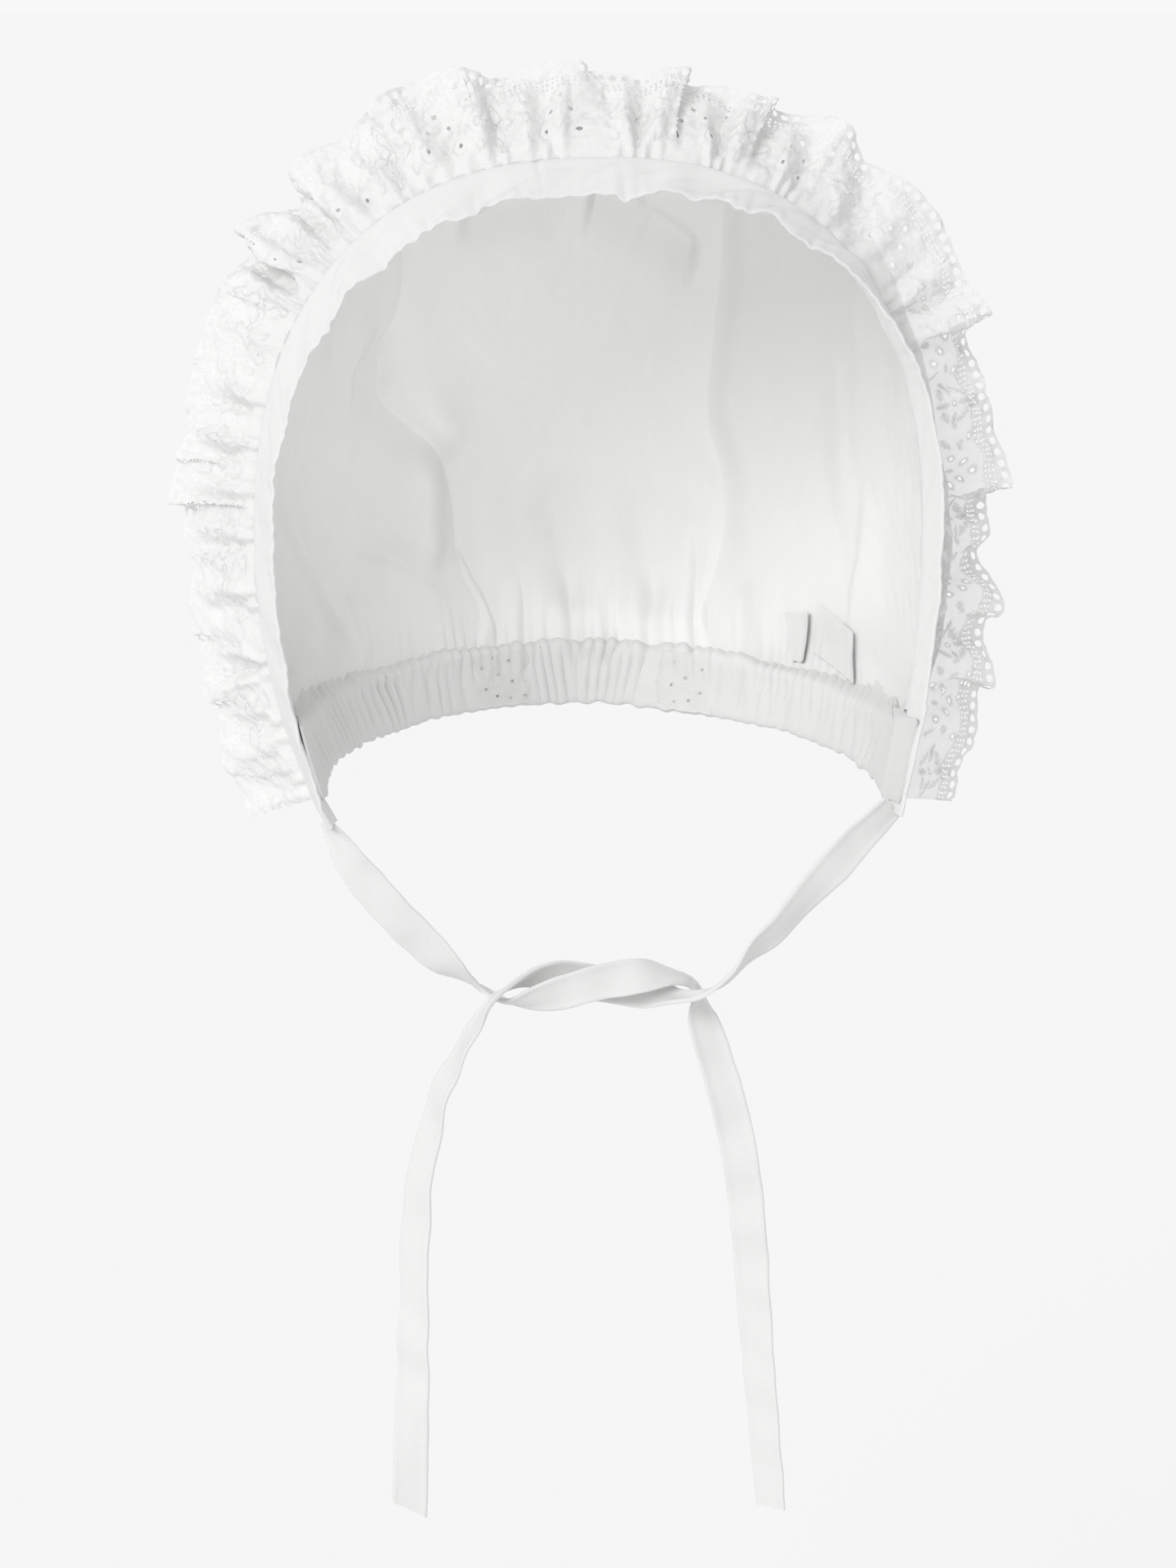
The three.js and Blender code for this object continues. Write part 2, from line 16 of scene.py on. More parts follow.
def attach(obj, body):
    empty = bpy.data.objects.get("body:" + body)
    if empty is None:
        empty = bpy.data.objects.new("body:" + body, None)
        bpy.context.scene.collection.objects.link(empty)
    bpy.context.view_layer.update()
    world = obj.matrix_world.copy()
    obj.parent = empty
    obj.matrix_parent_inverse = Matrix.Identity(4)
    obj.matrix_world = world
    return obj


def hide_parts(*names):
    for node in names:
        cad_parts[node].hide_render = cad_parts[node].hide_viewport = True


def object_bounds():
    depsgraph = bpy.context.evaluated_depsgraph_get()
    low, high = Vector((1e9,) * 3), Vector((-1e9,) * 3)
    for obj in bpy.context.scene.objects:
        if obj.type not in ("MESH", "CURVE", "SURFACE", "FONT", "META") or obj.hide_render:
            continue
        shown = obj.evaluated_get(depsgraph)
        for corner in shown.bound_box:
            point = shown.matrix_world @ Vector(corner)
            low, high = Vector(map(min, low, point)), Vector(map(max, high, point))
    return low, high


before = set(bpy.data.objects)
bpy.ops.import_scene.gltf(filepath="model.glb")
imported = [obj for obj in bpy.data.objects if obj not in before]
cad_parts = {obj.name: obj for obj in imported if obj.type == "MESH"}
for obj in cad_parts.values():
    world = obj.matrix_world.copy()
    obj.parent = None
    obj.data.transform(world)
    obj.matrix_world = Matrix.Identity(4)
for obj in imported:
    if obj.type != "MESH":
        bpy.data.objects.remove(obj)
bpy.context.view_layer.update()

SEAT = np.array([0.0, 60.0, 157.8])  # the part's origin, under the top of the crown


def place(points):
    return (np.asarray(points, float) - SEAT) * 0.001


def add_object(name, data):
    thing = bpy.data.objects.new(name, data)
    bpy.context.collection.objects.link(thing)
    return thing


def aim(thing, towards):
    """Turn a camera or a lamp to look along a direction."""
    thing.rotation_mode = "QUATERNION"
    thing.rotation_quaternion = Vector(towards).to_track_quat("-Z", "Y")


# ---- camera ----

VIEW_TURN = math.radians(4)  # the camera stands this far round to the left
VIEW_RISE = math.radians(8)
VIEW_DISTANCE = 1.3
VIEW_HEIGHT = 0.3456  # what the picture's height spans at the bonnet
SENSOR = 24
VIEW_TARGET = place((-3.97, 0, 5.9))

towards_camera = Vector((
    -math.sin(VIEW_TURN) * math.cos(VIEW_RISE),
    -math.cos(VIEW_TURN) * math.cos(VIEW_RISE),
    math.sin(VIEW_RISE),
))
camera_data = bpy.data.cameras.new("camera")
camera_data.sensor_width = SENSOR
camera_data.lens = SENSOR * VIEW_DISTANCE / VIEW_HEIGHT
camera = add_object("camera", camera_data)
camera.location = Vector(VIEW_TARGET) + VIEW_DISTANCE * towards_camera
aim(camera, -towards_camera)
bpy.context.scene.camera = camera


# ---- tables and small helpers ----

def table(names, *rows):
    """A table with named columns, as one array for each column. The first column is its key."""
    return dict(zip(names.split(), np.array(rows, float).T))


def rows_of(t):
    return zip(*t.values())


def read(t, at, column):
    """One column at any key between the table's rows, on a smooth curve through them."""
    x, y = next(iter(t.values())), t[column]
    at = np.clip(at, x[0], x[-1])
    i = np.clip(np.searchsorted(x, at, side="left") - 1, 0, len(x) - 2)
    slope = np.diff(y) / np.diff(x)
    before = (slope[np.maximum(i - 1, 0)] + slope[i]) / 2
    after = (slope[np.minimum(i + 1, len(slope) - 1)] + slope[i]) / 2
    span = x[i + 1] - x[i]
    s = (at - x[i]) / span
    h = s * s * (3 - 2 * s)
    return y[i] * (1 - h) + y[i + 1] * h + span * s * (1 - s) * ((1 - s) * before - s * after)


def running_length(points):
    """The distance along a line of points, at each of them."""
    return np.concatenate([[0], np.cumsum(np.linalg.norm(np.diff(points, axis=0), axis=1))])


def join(*columns):
    """Points from their coordinates, which are arrays or single numbers."""
    return np.stack(np.broadcast_arrays(*columns), axis=-1)


def unit(v):
    return v / np.maximum(np.linalg.norm(v, axis=-1, keepdims=True), 1e-12)


def smoothstep(x, low, high):
    t = np.clip((x - low) / (high - low), 0, 1)
    return t * t * (3 - 2 * t)


def waves(x, y, pitch, seed):
    """Soft irregular waves between about -1 and 1, the same on every run. y may be 0 throughout."""
    draw = np.random.default_rng(seed).uniform
    total = 0
    for _ in range(7):
        turn, size, phase = draw(0, math.pi), pitch * draw(0.7, 1.7), draw(0, 2 * math.pi)
        total = total + np.sin(2 * math.pi * (x * math.cos(turn) + y * math.sin(turn)) / size + phase)
    return total / 3.2


def make_piece(name, points, faces, cloth, material, slot, marks=None, stands_for=None):
    """A mesh piece on the bonnet's one body, which replaces the CAD node of its name or the one
    that it stands for. cloth: each point's place on the flat cloth, in millimetres."""
    mesh = bpy.data.meshes.new(name)
    mesh.from_pydata(place(points).tolist(), [], [list(map(int, f)) for f in faces])
    corner = np.empty(len(mesh.loops), dtype=np.int32)
    mesh.loops.foreach_get("vertex_index", corner)
    layers = {"cloth": cloth, "marks": marks}
    for layer, values in layers.items():
        if values is not None:
            data = mesh.uv_layers.new(name=layer).data
            data.foreach_set("uv", np.asarray(values, np.float32)[corner].ravel())
    mesh.polygons.foreach_set("use_smooth", np.ones(len(mesh.polygons), bool))
    mesh.set_sharp_from_angle(angle=math.radians(60))
    mesh.materials.append(material)
    mesh.update()
    piece = add_object(name, mesh)
    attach(piece, "root")
    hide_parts(stands_for or name)
    return piece


FOLD_CROWDING = 0.6  # how much a wall's rows crowd at its folds
LINING_SHIFT = 0.21  # the weaves of a wall's two faces aren't in step


def wall_mesh(middle, normal, thickness):
    """Points and faces of a closed wall about a grid of middle points."""
    half = np.broadcast_to(thickness, middle.shape[:2])[..., None] / 2
    points = np.concatenate([p.reshape(-1, 3) for p in (middle + half * normal, middle - half * normal)])
    near = np.arange(middle[..., 0].size).reshape(middle.shape[:2])
    a, b, c, d = (q.ravel() for q in (near[:-1, :-1], near[1:, :-1], near[1:, 1:], near[:-1, 1:]))
    rim = np.concatenate([near[:-1, 0], near[-1, :-1], near[:0:-1, -1], near[0, :0:-1]])
    ahead = np.roll(rim, -1)
    far = near.size
    return points, np.concatenate([
        join(a, b, c, d), join(a, d, c, b) + far, join(rim, rim + far, ahead + far, ahead),
    ])


def shell(surface, columns, rows, thickness, cloth_size, round_rows=0.0):
    """Points, faces and cloth places of a cloth wall about surface(u, v). Its normals are taken
    over one more row all round, so that walls which meet at a seam agree. round_rows: the share of
    its width over which each long edge, a fold of the cloth, is rounded."""
    steps = (np.arange(-1, count + 2) / count for count in (columns, rows))
    u, v = np.meshgrid(*steps, indexing="ij")
    if round_rows:  # rows crowd towards the folds
        crowded = (1 - np.cos(math.pi * v)) / 2 * FOLD_CROWDING + v * (1 - FOLD_CROWDING)
        v = np.where((v < 0) | (v > 1), v, crowded)
        edge = np.clip(np.minimum(v, 1 - v) / round_rows, 0, 1)
        thickness = thickness * np.sqrt(np.clip(1 - (1 - edge) ** 2, 0.02, 1))[1:-1, 1:-1]
    middle = surface(u, v)
    across = np.gradient(middle, axis=0)[1:-1, 1:-1]
    down = np.gradient(middle, axis=1)[1:-1, 1:-1]
    points, faces = wall_mesh(middle[1:-1, 1:-1], unit(np.cross(across, down)), thickness)
    cloth = join(u * cloth_size[0], v * cloth_size[1])[1:-1, 1:-1].reshape(-1, 2)
    return points, faces, np.concatenate([cloth, cloth + LINING_SHIFT])


# ---- materials ----

WAVE_SCALE = 0.314  # scale of a wave texture with bands a millimetre apart
WARMTH = 0.005  # how much less blue the cotton is than white
THIN_YARN = 0.988  # brightness where the yarns are thin, as a share
SLUBS = (1.2, 0.09, 1)  # long uneven places in the warp, per mm
STITCH_PITCH = 0.48  # of the satin stitches


def connect(tree, made, inputs):
    """Give each of a node's inputs its number, or link it to the output of another node."""
    for key, value in inputs.items():
        if isinstance(value, bpy.types.NodeSocket):
            tree.links.new(value, made.inputs[key])
        else:
            made.inputs[key].default_value = value


def node(tree, kind, inputs, **settings):
    made = tree.nodes.new(kind)
    for key, value in settings.items():
        setattr(made, key, value)
    connect(tree, made, inputs)
    return made


def math_node(tree, operation, *inputs):
    return node(tree, "ShaderNodeMath", dict(enumerate(inputs)), operation=operation).outputs["Value"]


def weave_height(tree, cloth, pitch):
    """Two sets of yarns that cross."""
    scale = WAVE_SCALE / pitch
    yarns = [node(tree, "ShaderNodeTexWave", {"Vector": cloth, "Scale": scale}, bands_direction=axis)
             for axis in "XY"]
    return math_node(tree, "MULTIPLY", *(y.outputs["Fac"] for y in yarns))


def cloth_noise(tree, cloth, scale, stretch):
    spread = node(tree, "ShaderNodeMapping", {"Vector": cloth, "Scale": stretch})
    inputs = {"Vector": spread.outputs["Vector"], "Scale": scale, "Detail": 4.0}
    return node(tree, "ShaderNodeTexNoise", inputs).outputs["Fac"]


def cloth_material(name, white, pitch=0.36, weave=0.02, grain=0.05, through=0.14, roughness=0.85,
                   lumps=1.4, ribs=0.0, sheer=0.0):
    """Woven cotton. white: its brightness; pitch: of its yarns; weave, grain: heights of the two
    bumps; through: the share of light that passes, spread; lumps: of the grain, to a millimetre;
    ribs: height of the satin stitches in the marks layer; sheer: the share of the ground, where no
    stitches lie, that is open between its threads."""
    color = (white, white, white - WARMTH)
    material = bpy.data.materials.new(name)
    material.use_nodes = True
    tree = material.node_tree
    cloth = node(tree, "ShaderNodeUVMap", {}, uv_map="cloth").outputs["UV"]
    tint = node(tree, "ShaderNodeValToRGB", {"Fac": cloth_noise(tree, cloth, 1.0, SLUBS)})
    thin, thick = tint.color_ramp.elements
    thin.position, thick.position = 0.3, 0.7
    thin.color, thick.color = (*(THIN_YARN * c for c in color), 1), (*color, 1)

    grains = cloth_noise(tree, cloth, lumps, (1, 1, 1))
    heights = [(weave_height(tree, cloth, pitch), weave), (grains, grain)]
    if ribs:
        marks = node(tree, "ShaderNodeUVMap", {}, uv_map="marks").outputs["UV"]
        across, stitches = node(tree, "ShaderNodeSeparateXYZ", {"Vector": marks}).outputs[:2]
        turns = math_node(tree, "MULTIPLY", across, 2 * math.pi / STITCH_PITCH)
        heights.append((math_node(tree, "MULTIPLY", math_node(tree, "SINE", turns), stitches), ribs))
    inputs = {"Strength": 0.6}
    for height, millimetres in heights:
        inputs.update({"Height": height, "Distance": millimetres * 0.001})
        bump = node(tree, "ShaderNodeBump", inputs)
        inputs["Normal"] = bump.outputs["Normal"]

    shader = tree.nodes["Principled BSDF"]
    connect(tree, shader, {
        "Roughness": roughness, "Specular IOR Level": 0.25, "Sheen Weight": 0.12, "Sheen Roughness": 0.5,
        "Base Color": tint.outputs["Color"], "Normal": bump.outputs["Normal"],
    })
    glow = node(tree, "ShaderNodeBsdfTranslucent", {"Color": (*color, 1)})
    mixed = {"Fac": through, 1: shader.outputs["BSDF"], 2: glow.outputs["BSDF"]}
    surface = node(tree, "ShaderNodeMixShader", mixed)
    if sheer:
        openness = node(tree, "ShaderNodeMapRange", {"Value": stitches, "To Min": sheer, "To Max": 0.0})
        gaps = node(tree, "ShaderNodeBsdfTransparent", {})
        mixed = {"Fac": openness.outputs["Result"], 1: surface.outputs["Shader"], 2: gaps.outputs["BSDF"]}
        surface = node(tree, "ShaderNodeMixShader", mixed)
    connect(tree, tree.nodes["Material Output"], {"Surface": surface.outputs["Shader"]})
    return material


COTTON = cloth_material("white_cotton", 0.83)
# painted shade: the side panels are the same white cotton as the crown panel, painted darker for the shade
# on the side walls inside
SIDE_COTTON_PAINTED_SHADE = cloth_material("side_cotton_painted_shade", 0.78)
# painted shade: the front band is the same white cotton, painted darker for the shade along its folded
# edge
BAND_COTTON_PAINTED_SHADE = cloth_material("folded_cotton_painted_shade", 0.78, grain=0.06, through=0.10)
# painted shade: the casing is the same white cotton, painted much darker for the shade low in the nape
CASING_PAINTED_SHADE = cloth_material("casing_cotton_painted_shade", 0.66, grain=0.06, through=0.04)
LACE = cloth_material("eyelet_cotton", 0.805, pitch=0.42, weave=0.06, grain=0.6, through=0.08, lumps=0.7,
                      ribs=0.03, sheer=0.5)
# painted shade: the lace where it crosses the casing is the frill's lace, painted darker for the shade low
# in the nape
CASING_LACE_PAINTED_SHADE = cloth_material("casing_lace", 0.64, pitch=0.42, weave=0.03, grain=0.2, through=0.05,
                             lumps=0.7, ribs=0.04)
TAPE = cloth_material("cotton_tape", 0.77, pitch=0.34, through=0.10)
LABEL = cloth_material("woven_label", 0.78, pitch=0.2, weave=0.01, grain=0.03, through=0.2, roughness=0.5)


# ---- ties ----

# Each tie from its corner, through the half knot, to its free end. turn: how far the flat face is
# turned from the front, in degrees about the tape's own length. A narrower width is crumpled.
LEFT_TIE = table(
    "x y z turn width",
    (-62.1, 3.2, -2.2, 55, 3.4), (-58.2, 1.8, -8, 30, 6.8), (-53, 0.8, -15.4, 12, 8),
    (-45.4, 0.5, -24.1, 10, 8), (-36.4, 1.5, -33.2, 28, 8), (-27.5, 3.9, -40.4, 85, 4.5),
    (-21.5, 1.2, -42.9, 72, 5.4), (-13.5, -2, -41.4, 22, 8), (-3, -3.2, -38.2, 0, 8),
    (7, -2.4, -36.8, -25, 8), (15, 0.6, -37.4, -60, 5.4), (20.2, 3.9, -40.8, -70, 4.5),
    (21.8, 3.4, -47.6, -20, 7.4), (25.4, 1.5, -59, -5, 8), (29.6, 1, -76, 5, 8),
    (32, 1, -94, 15, 8), (33.4, 1, -113, 25, 8), (35, 1, -132, 35, 8), (37.2, 1, -159, 42, 8),
)
RIGHT_TIE = table(
    "x y z turn width",
    (63.8, 2.6, -0.2, -30, 6.8), (55.1, 1.4, -8.6, -15, 8), (46.4, 0.6, -18, -22, 8),
    (37.4, -0.2, -27.7, -42, 8), (28.4, -1.8, -35.9, -70, 7), (21.6, -3.9, -40.8, -92, 4.5),
    (16.2, -1.2, -42, -118, 5.4), (9, 1.6, -40.8, -155, 8), (-1, 2.6, -39.2, -178, 8),
    (-11, 2.2, -37.4, -198, 8), (-19.4, -0.2, -37.9, -240, 5.4), (-25.6, -3.9, -41.8, -268, 4.5),
    (-28.6, -2.8, -46.6, -282, 7.4), (-35.2, -0.5, -59.4, -294, 8), (-40.4, 0.5, -77, -308, 8),
    (-42.4, 1, -94, -315, 8), (-42.8, 1, -112, -322, 8), (-43.2, 1, -131, -335, 8),
    (-44, 1, -158, -355, 8),
)
TAPE_WIDTH = 8.0
TAPE_STEPS = 420
# Heights of the tape's puckers, of its cupping across, and of its folds where it is crumpled.
TAPE_PUCKER, TAPE_CUP, TAPE_CRUMPLE = 0.45, 0.35, 0.9
# Half of the tape's section: place across its width, and half thickness (the hems are folded).
TAPE_SECTION = table(
    "across half",
    (-0.5, 0.12), (-0.485, 0.33), (-0.45, 0.4), (-0.4, 0.42), (-0.37, 0.36), (-0.33, 0.27),
    (-0.2, 0.25), (0, 0.25), (0.2, 0.25), (0.33, 0.27), (0.37, 0.36), (0.4, 0.42),
    (0.45, 0.4), (0.485, 0.33), (0.5, 0.12),
)


def spline(points, at):
    """Points and directions on the centripetal curve through points, at from 0 to 1."""
    p = np.concatenate([[2 * points[0] - points[1]], points, [2 * points[-1] - points[-2]]])
    place_on = np.clip(at, 0, 1) * (len(points) - 1)
    i = np.clip(np.floor(place_on).astype(int), 0, len(points) - 2)
    w = (place_on - i)[:, None]
    p0, p1, p2, p3 = (p[i + k] for k in range(4))
    d0, d1, d2 = (np.sqrt(np.linalg.norm(p[i + k + 1] - p[i + k], axis=1))[:, None] for k in range(3))
    t1 = ((p1 - p0) / d0 - (p2 - p0) / (d0 + d1) + (p2 - p1) / d1) * d1
    t2 = ((p2 - p1) / d1 - (p3 - p1) / (d1 + d2) + (p3 - p2) / d2) * d1
    c2 = -3 * p1 + 3 * p2 - 2 * t1 - t2
    c3 = 2 * p1 - 2 * p2 + t1 + t2
    return p1 + t1 * w + c2 * w * w + c3 * w ** 3, unit(t1 + 2 * c2 * w + 3 * c3 * w * w)


def tape_frames(tie):
    """Centre, sideways and facing directions, and width along a tie."""
    at = np.linspace(0, 1, TAPE_STEPS + 1)
    rows = {"at": np.linspace(0, 1, len(tie["x"])), **tie}
    centre, tangent = spline(join(tie["x"], tie["y"], tie["z"]), at)
    turn = np.radians(read(rows, at, "turn"))[:, None]
    face = unit(np.array([0.0, -1.0, 0.0]) + tangent * tangent[:, 1:2])
    face = face * np.cos(turn) + np.cross(tangent, face) * np.sin(turn)
    return centre, np.cross(face, tangent), face, read(rows, at, "width")


def tape_faces(ring, half_ring):
    """Quads round and along a tape, and over its two ends."""
    grid = np.arange((TAPE_STEPS + 1) * ring).reshape(-1, ring)
    beside = np.roll(grid, -1, axis=1)
    faces = join(grid[:-1], beside[:-1], beside[1:], grid[1:]).reshape(-1, 4).tolist()
    for end, turned in ((grid[0], -1), (grid[-1], 1)):
        for k in range(half_ring - 1):
            faces.append([end[k], end[-1 - k], end[-2 - k], end[k + 1]][::turned])
    return faces


def make_tie(name, tie, end_skew, seed):
    """A hemmed cotton tape; end_skew is how far its cut end slants."""
    centre, side, face, width = tape_frames(tie)
    run = running_length(centre)
    across, half = TAPE_SECTION["across"], TAPE_SECTION["half"]
    ring = np.concatenate([across, across[::-1]])
    lift = np.concatenate([half, -half[::-1]])[None, :]
    x = ring[None, :] * width[:, None] * (1 + 0.02 * waves(run, 0, 7, seed)[:, None])
    from_corner = np.minimum(run / 12, 1)[:, None]
    lift = lift + TAPE_PUCKER * waves(run[:, None], ring[None, :] * 6, 11, seed + 1) * from_corner
    lift = lift + TAPE_CUP * waves(run, 0, 34, seed + 2)[:, None] * (4 * ring[None, :] ** 2 - 0.4)
    lift = lift + (1 - width / TAPE_WIDTH)[:, None] * TAPE_CRUMPLE * np.cos(3 * math.pi * ring[None, :])
    points = centre[:, None] + side[:, None] * x[..., None] + face[:, None] * lift[..., None]
    forward = unit(np.gradient(centre, axis=0))
    skew = end_skew * ring[None, :] * smoothstep(run, run[-1] - TAPE_WIDTH, run[-1])[:, None]
    points = points + forward[:, None] * skew[..., None]
    cloth = join(run[:, None], ring[None, :] * TAPE_WIDTH).reshape(-1, 2)
    faces = tape_faces(len(ring), len(across))
    piece = make_piece(name, points.reshape(-1, 3), faces, cloth, TAPE, "tape")


make_tie("tie_left", LEFT_TIE, 0.5, 3)
make_tie("tie_right", RIGHT_TIE, 3.6, 8)


# ---- crown ----

CORNER_Y, CORNER_Z = 8.0, 20.0  # the line on which every rib of the crown starts and ends
FOOT = {-1: 70.0, 1: 68.0}  # half widths there, left and right
SIDES = {-1: "left", 1: "right"}
FRONT_DROP = {-1: 23.0, 1: 21.5}  # how far the front corners hang below that line
TOP_TILT, NAPE_TILT = 90.0, 4.0
PANEL_WALL, BAND_WALL = 1.4, 2.4
HEAD = np.array([0.0, 52.0, 70.0])  # about the middle of the head

# Ribs: arches in planes through the corner line, tipped from upright (the frill seam) to nearly
# level (the nape). reach: to the middle of the arch; belly: where it is widest; square: fullness.
RIBS = table(
    "tilt reach left right belly square",
    (4, 90, 70.1, 68.1, 0.5, 1.6), (10, 101, 71, 70, 12, 1.8), (18, 114, 73, 73, 26, 2.0),
    (30, 129, 76, 76, 38, 2.1), (45, 147, 78, 79, 46, 2.1), (60, 154, 79, 79, 48, 2.15),
    (75, 142.5, 78, 75, 45, 2.25), (90, 122.5, 76, 71, 40, 2.4),
)
# The seams of the centre panel, as distances from the middle.
SEAMS = table(
    "tilt left right",
    (4, 25, 32), (8, 23.5, 30), (13, 27, 34), (18, 28, 37), (24, 31, 37), (29, 40, 34), (33, 45.8, 34),
    (35.3, 45.4, 34.5), (37.4, 45.2, 35), (38.8, 43.8, 35.2), (42, 41, 36), (50, 41, 36), (70, 42, 31),
    (90, 42, 28),
)
# Soft dents, inward positive, each with its spread along the tilt and along the rib.
DENTS = table(
    "tilt across inward tilt_spread across_spread",
    (24, -40, 9, 11, 13), (66, -58, 4, 12, 12), (46, -60, -3, 7, 10), (34, 62, -2, 16, 14),
)


RIB_POINTS = 161  # of each of a half rib's two stretches, above and below its widest place


def rib_line(tilt, side, below=0.0):
    """Half a rib from its middle outwards: distance from the middle, reach, and running length."""
    at = float(tilt)
    reach, half, belly, square = (
        float(read(RIBS, at, column)) for column in ("reach", SIDES[side], "belly", "square")
    )
    foot = min(FOOT[side], half - 0.02)
    low = belly / math.sqrt(1 - (foot / half) ** 2)
    a = np.linspace(math.pi / 2, 0, RIB_POINTS)
    b = np.linspace(0, math.asin(min((belly + below) / low, 1)), RIB_POINTS)[1:]
    x = np.concatenate([half * np.maximum(np.cos(a), 0) ** (2 / square), half * np.cos(b)])
    y = np.concatenate([belly + (reach - belly) * np.sin(a) ** (2 / square), belly - low * np.sin(b)])
    return x, y, np.concatenate([[0], np.cumsum(np.hypot(np.diff(x), np.diff(y)))])


# Every rib is worked out once, on a grid of tilts and of distances along the rib, left negative.
TILT_STEP, LENGTH_STEP, LONGEST = 0.5, 0.5, 175.0
rib_tilts = np.arange(NAPE_TILT, TOP_TILT + TILT_STEP / 2, TILT_STEP)
rib_lengths = np.arange(-LONGEST, LONGEST + LENGTH_STEP / 2, LENGTH_STEP)
rib_x = np.empty((len(rib_tilts), len(rib_lengths)))
rib_reach = np.empty_like(rib_x)
half_length = {-1: np.empty(len(rib_tilts)), 1: np.empty(len(rib_tilts))}
seam_length = {-1: np.empty(len(rib_tilts)), 1: np.empty(len(rib_tilts))}
for row, tilt in enumerate(rib_tilts):
    for side in (-1, 1):
        x, y, run = rib_line(tilt, side)
        here = rib_lengths * side >= 0
        rib_x[row, here] = side * np.interp(np.abs(rib_lengths[here]), run, x)
        rib_reach[row, here] = np.interp(np.abs(rib_lengths[here]), run, y)
        half_length[side][row] = run[-1]
        seam_x = float(read(SEAMS, tilt, SIDES[side]))
        seam_length[side][row] = side * np.interp(seam_x, x[:RIB_POINTS], run[:RIB_POINTS])


def on_rib(tilt, length):
    """Distance from the middle and reach, anywhere on the crown."""
    i = np.clip((tilt - NAPE_TILT) / TILT_STEP, 0, len(rib_tilts) - 1.001)
    j = np.clip((length + LONGEST) / LENGTH_STEP, 0, len(rib_lengths) - 1.001)
    i0, j0 = i.astype(int), j.astype(int)
    s, t = i - i0, j - j0
    return [
        (g[i0, j0] * (1 - t) + g[i0, j0 + 1] * t) * (1 - s)
        + (g[i0 + 1, j0] * (1 - t) + g[i0 + 1, j0 + 1] * t) * s
        for g in (rib_x, rib_reach)
    ]


def crown(tilt, length, out=0.0):
    """A point of the crown's middle surface; out moves it away from the head."""
    tilt, length = np.broadcast_arrays(np.asarray(tilt, float), np.asarray(length, float))
    x, reach = on_rib(tilt, length)
    angle = np.radians(tilt)
    p = join(x, CORNER_Y + reach * np.cos(angle), CORNER_Z + reach * np.sin(angle))
    dent = 0
    for t, a, inward, tilt_spread, spread in rows_of(DENTS):
        dent = dent + inward * np.exp(-((tilt - t) / tilt_spread) ** 2 - ((length - a) / spread) ** 2)
    return p + unit(p - HEAD) * (out - dent)[..., None]


def seam_at(tilt, side):
    return np.interp(tilt, rib_tilts, seam_length[side])


TILT_MM = 2.1  # a degree of tilt is about this far on the crown

# Creases of the worn cotton, each a ridge (or, negative, a furrow) towards the head, from place a
# to place b, given as tilt and distance along the rib. steep and soft: how wide the crease is on
# the right and on the left of the way from a to b; fade: how far it dies out towards b.
CREASES = table(
    "tilt_a along_a tilt_b along_b rise steep soft fade",
    # valleys between the billows of the lower back, which is gathered into the nape casing
    (1, -20, 13, -21.5, -1.6, 3.4, 2.0, 0.2), (1, 0.5, 12, -1, -1.8, 3.4, 2.4, 0),
    (8, -1, 21, -5, -2.6, 8, 5, 0), (1, 18, 12, 19.5, -1.8, 3.4, 2.4, 0),
    (8, 19, 20, 17, -2.6, 8, 6, 0),
    (1, 30, 17, 31, -1.8, 3, 1.3, 0.3), (1, 6, 10, 6.5, -1.2, 2.4, 0.9, 0.5),
    (1, 11.5, 9, 12, -1.1, 2.2, 0.9, 0.5), (1, -12, 11, -13, -1.3, 2.6, 1.0, 0.5),
    (1, -7, 8, -7.5, -1.0, 2, 0.9, 0.6), (1, 25, 12, 25.5, -1.2, 2.2, 0.9, 0.5),
    (1, 35, 12, 34.5, -1.2, 2, 1.0, 0.4),
    # the fold that runs down from the left seam, and the hollow over the billows
    (6, -22, 15, -29, 2.6, 1.5, 5, 0), (25, -30, 16, -6, -1.4, 6, 9, 0),
    (16, -4, 19, 18, -1.4, 6, 9, 0), (19, 20, 22, 38, -1.3, 6, 9, 0),
    # the left panel's folds beside its seam
    (47, -45, 39, -46, 1.2, 2.6, 6, 0), (43, -60, 38.5, -53, 0.8, 5, 4, 0),
    (38.5, -52, 37, -48.5, -1.0, 3.2, 3.2, 0), (36.4, -58, 34.2, -48, -1.6, 4, 5, 0),
    (36, -80, 30, -60, 1.5, 6, 4, 0.3), (19, -60, 12, -35, -1.8, 2, 5, 0.2),
    (21, -58, 14.5, -35, 1.8, 4, 3, 0.2), (32, -96, 8, -69, 2.2, 2.2, 6, 0),
    (14, -66, 7, -64, 1.2, 2, 3, 0), (16, -54, 7, -50, 0.9, 2, 4, 0.4),
    # under the front band
    (47.5, -26, 46.4, -2, -4.6, 6, 4, 0), (47.4, 4, 46.4, 17, -4.6, 6, 4, 0),
    (45.6, 17, 43.6, 30, -4.2, 6, 4, 0), (47, 0, 40, 0.5, -0.7, 1, 2, 0.6),
    # the right panel
    (42, 72, 25, 77.5, 1.0, 7, 4, 0.2), (27.5, 62, 12, 66, 1.0, 4, 7, 0.3),
    (24, 52, 9, 56, 0.8, 4, 6, 0.5), (55, 78, 34, 84, 0.9, 7, 4, 0),
    (30, 88, 12, 84, 1.3, 3, 6, 0), (12, 44, 2, 46, 1.2, 2, 3, 0),
    # the cushion above the casing, and soft hollows of the back
    (9, -24, 8, 32, 2.4, 7, 9, 0),
    (33, -20, 23, -33, -1.4, 8, 8, 0), (38, -2, 36, 12, 0.9, 8, 8, 0),
)


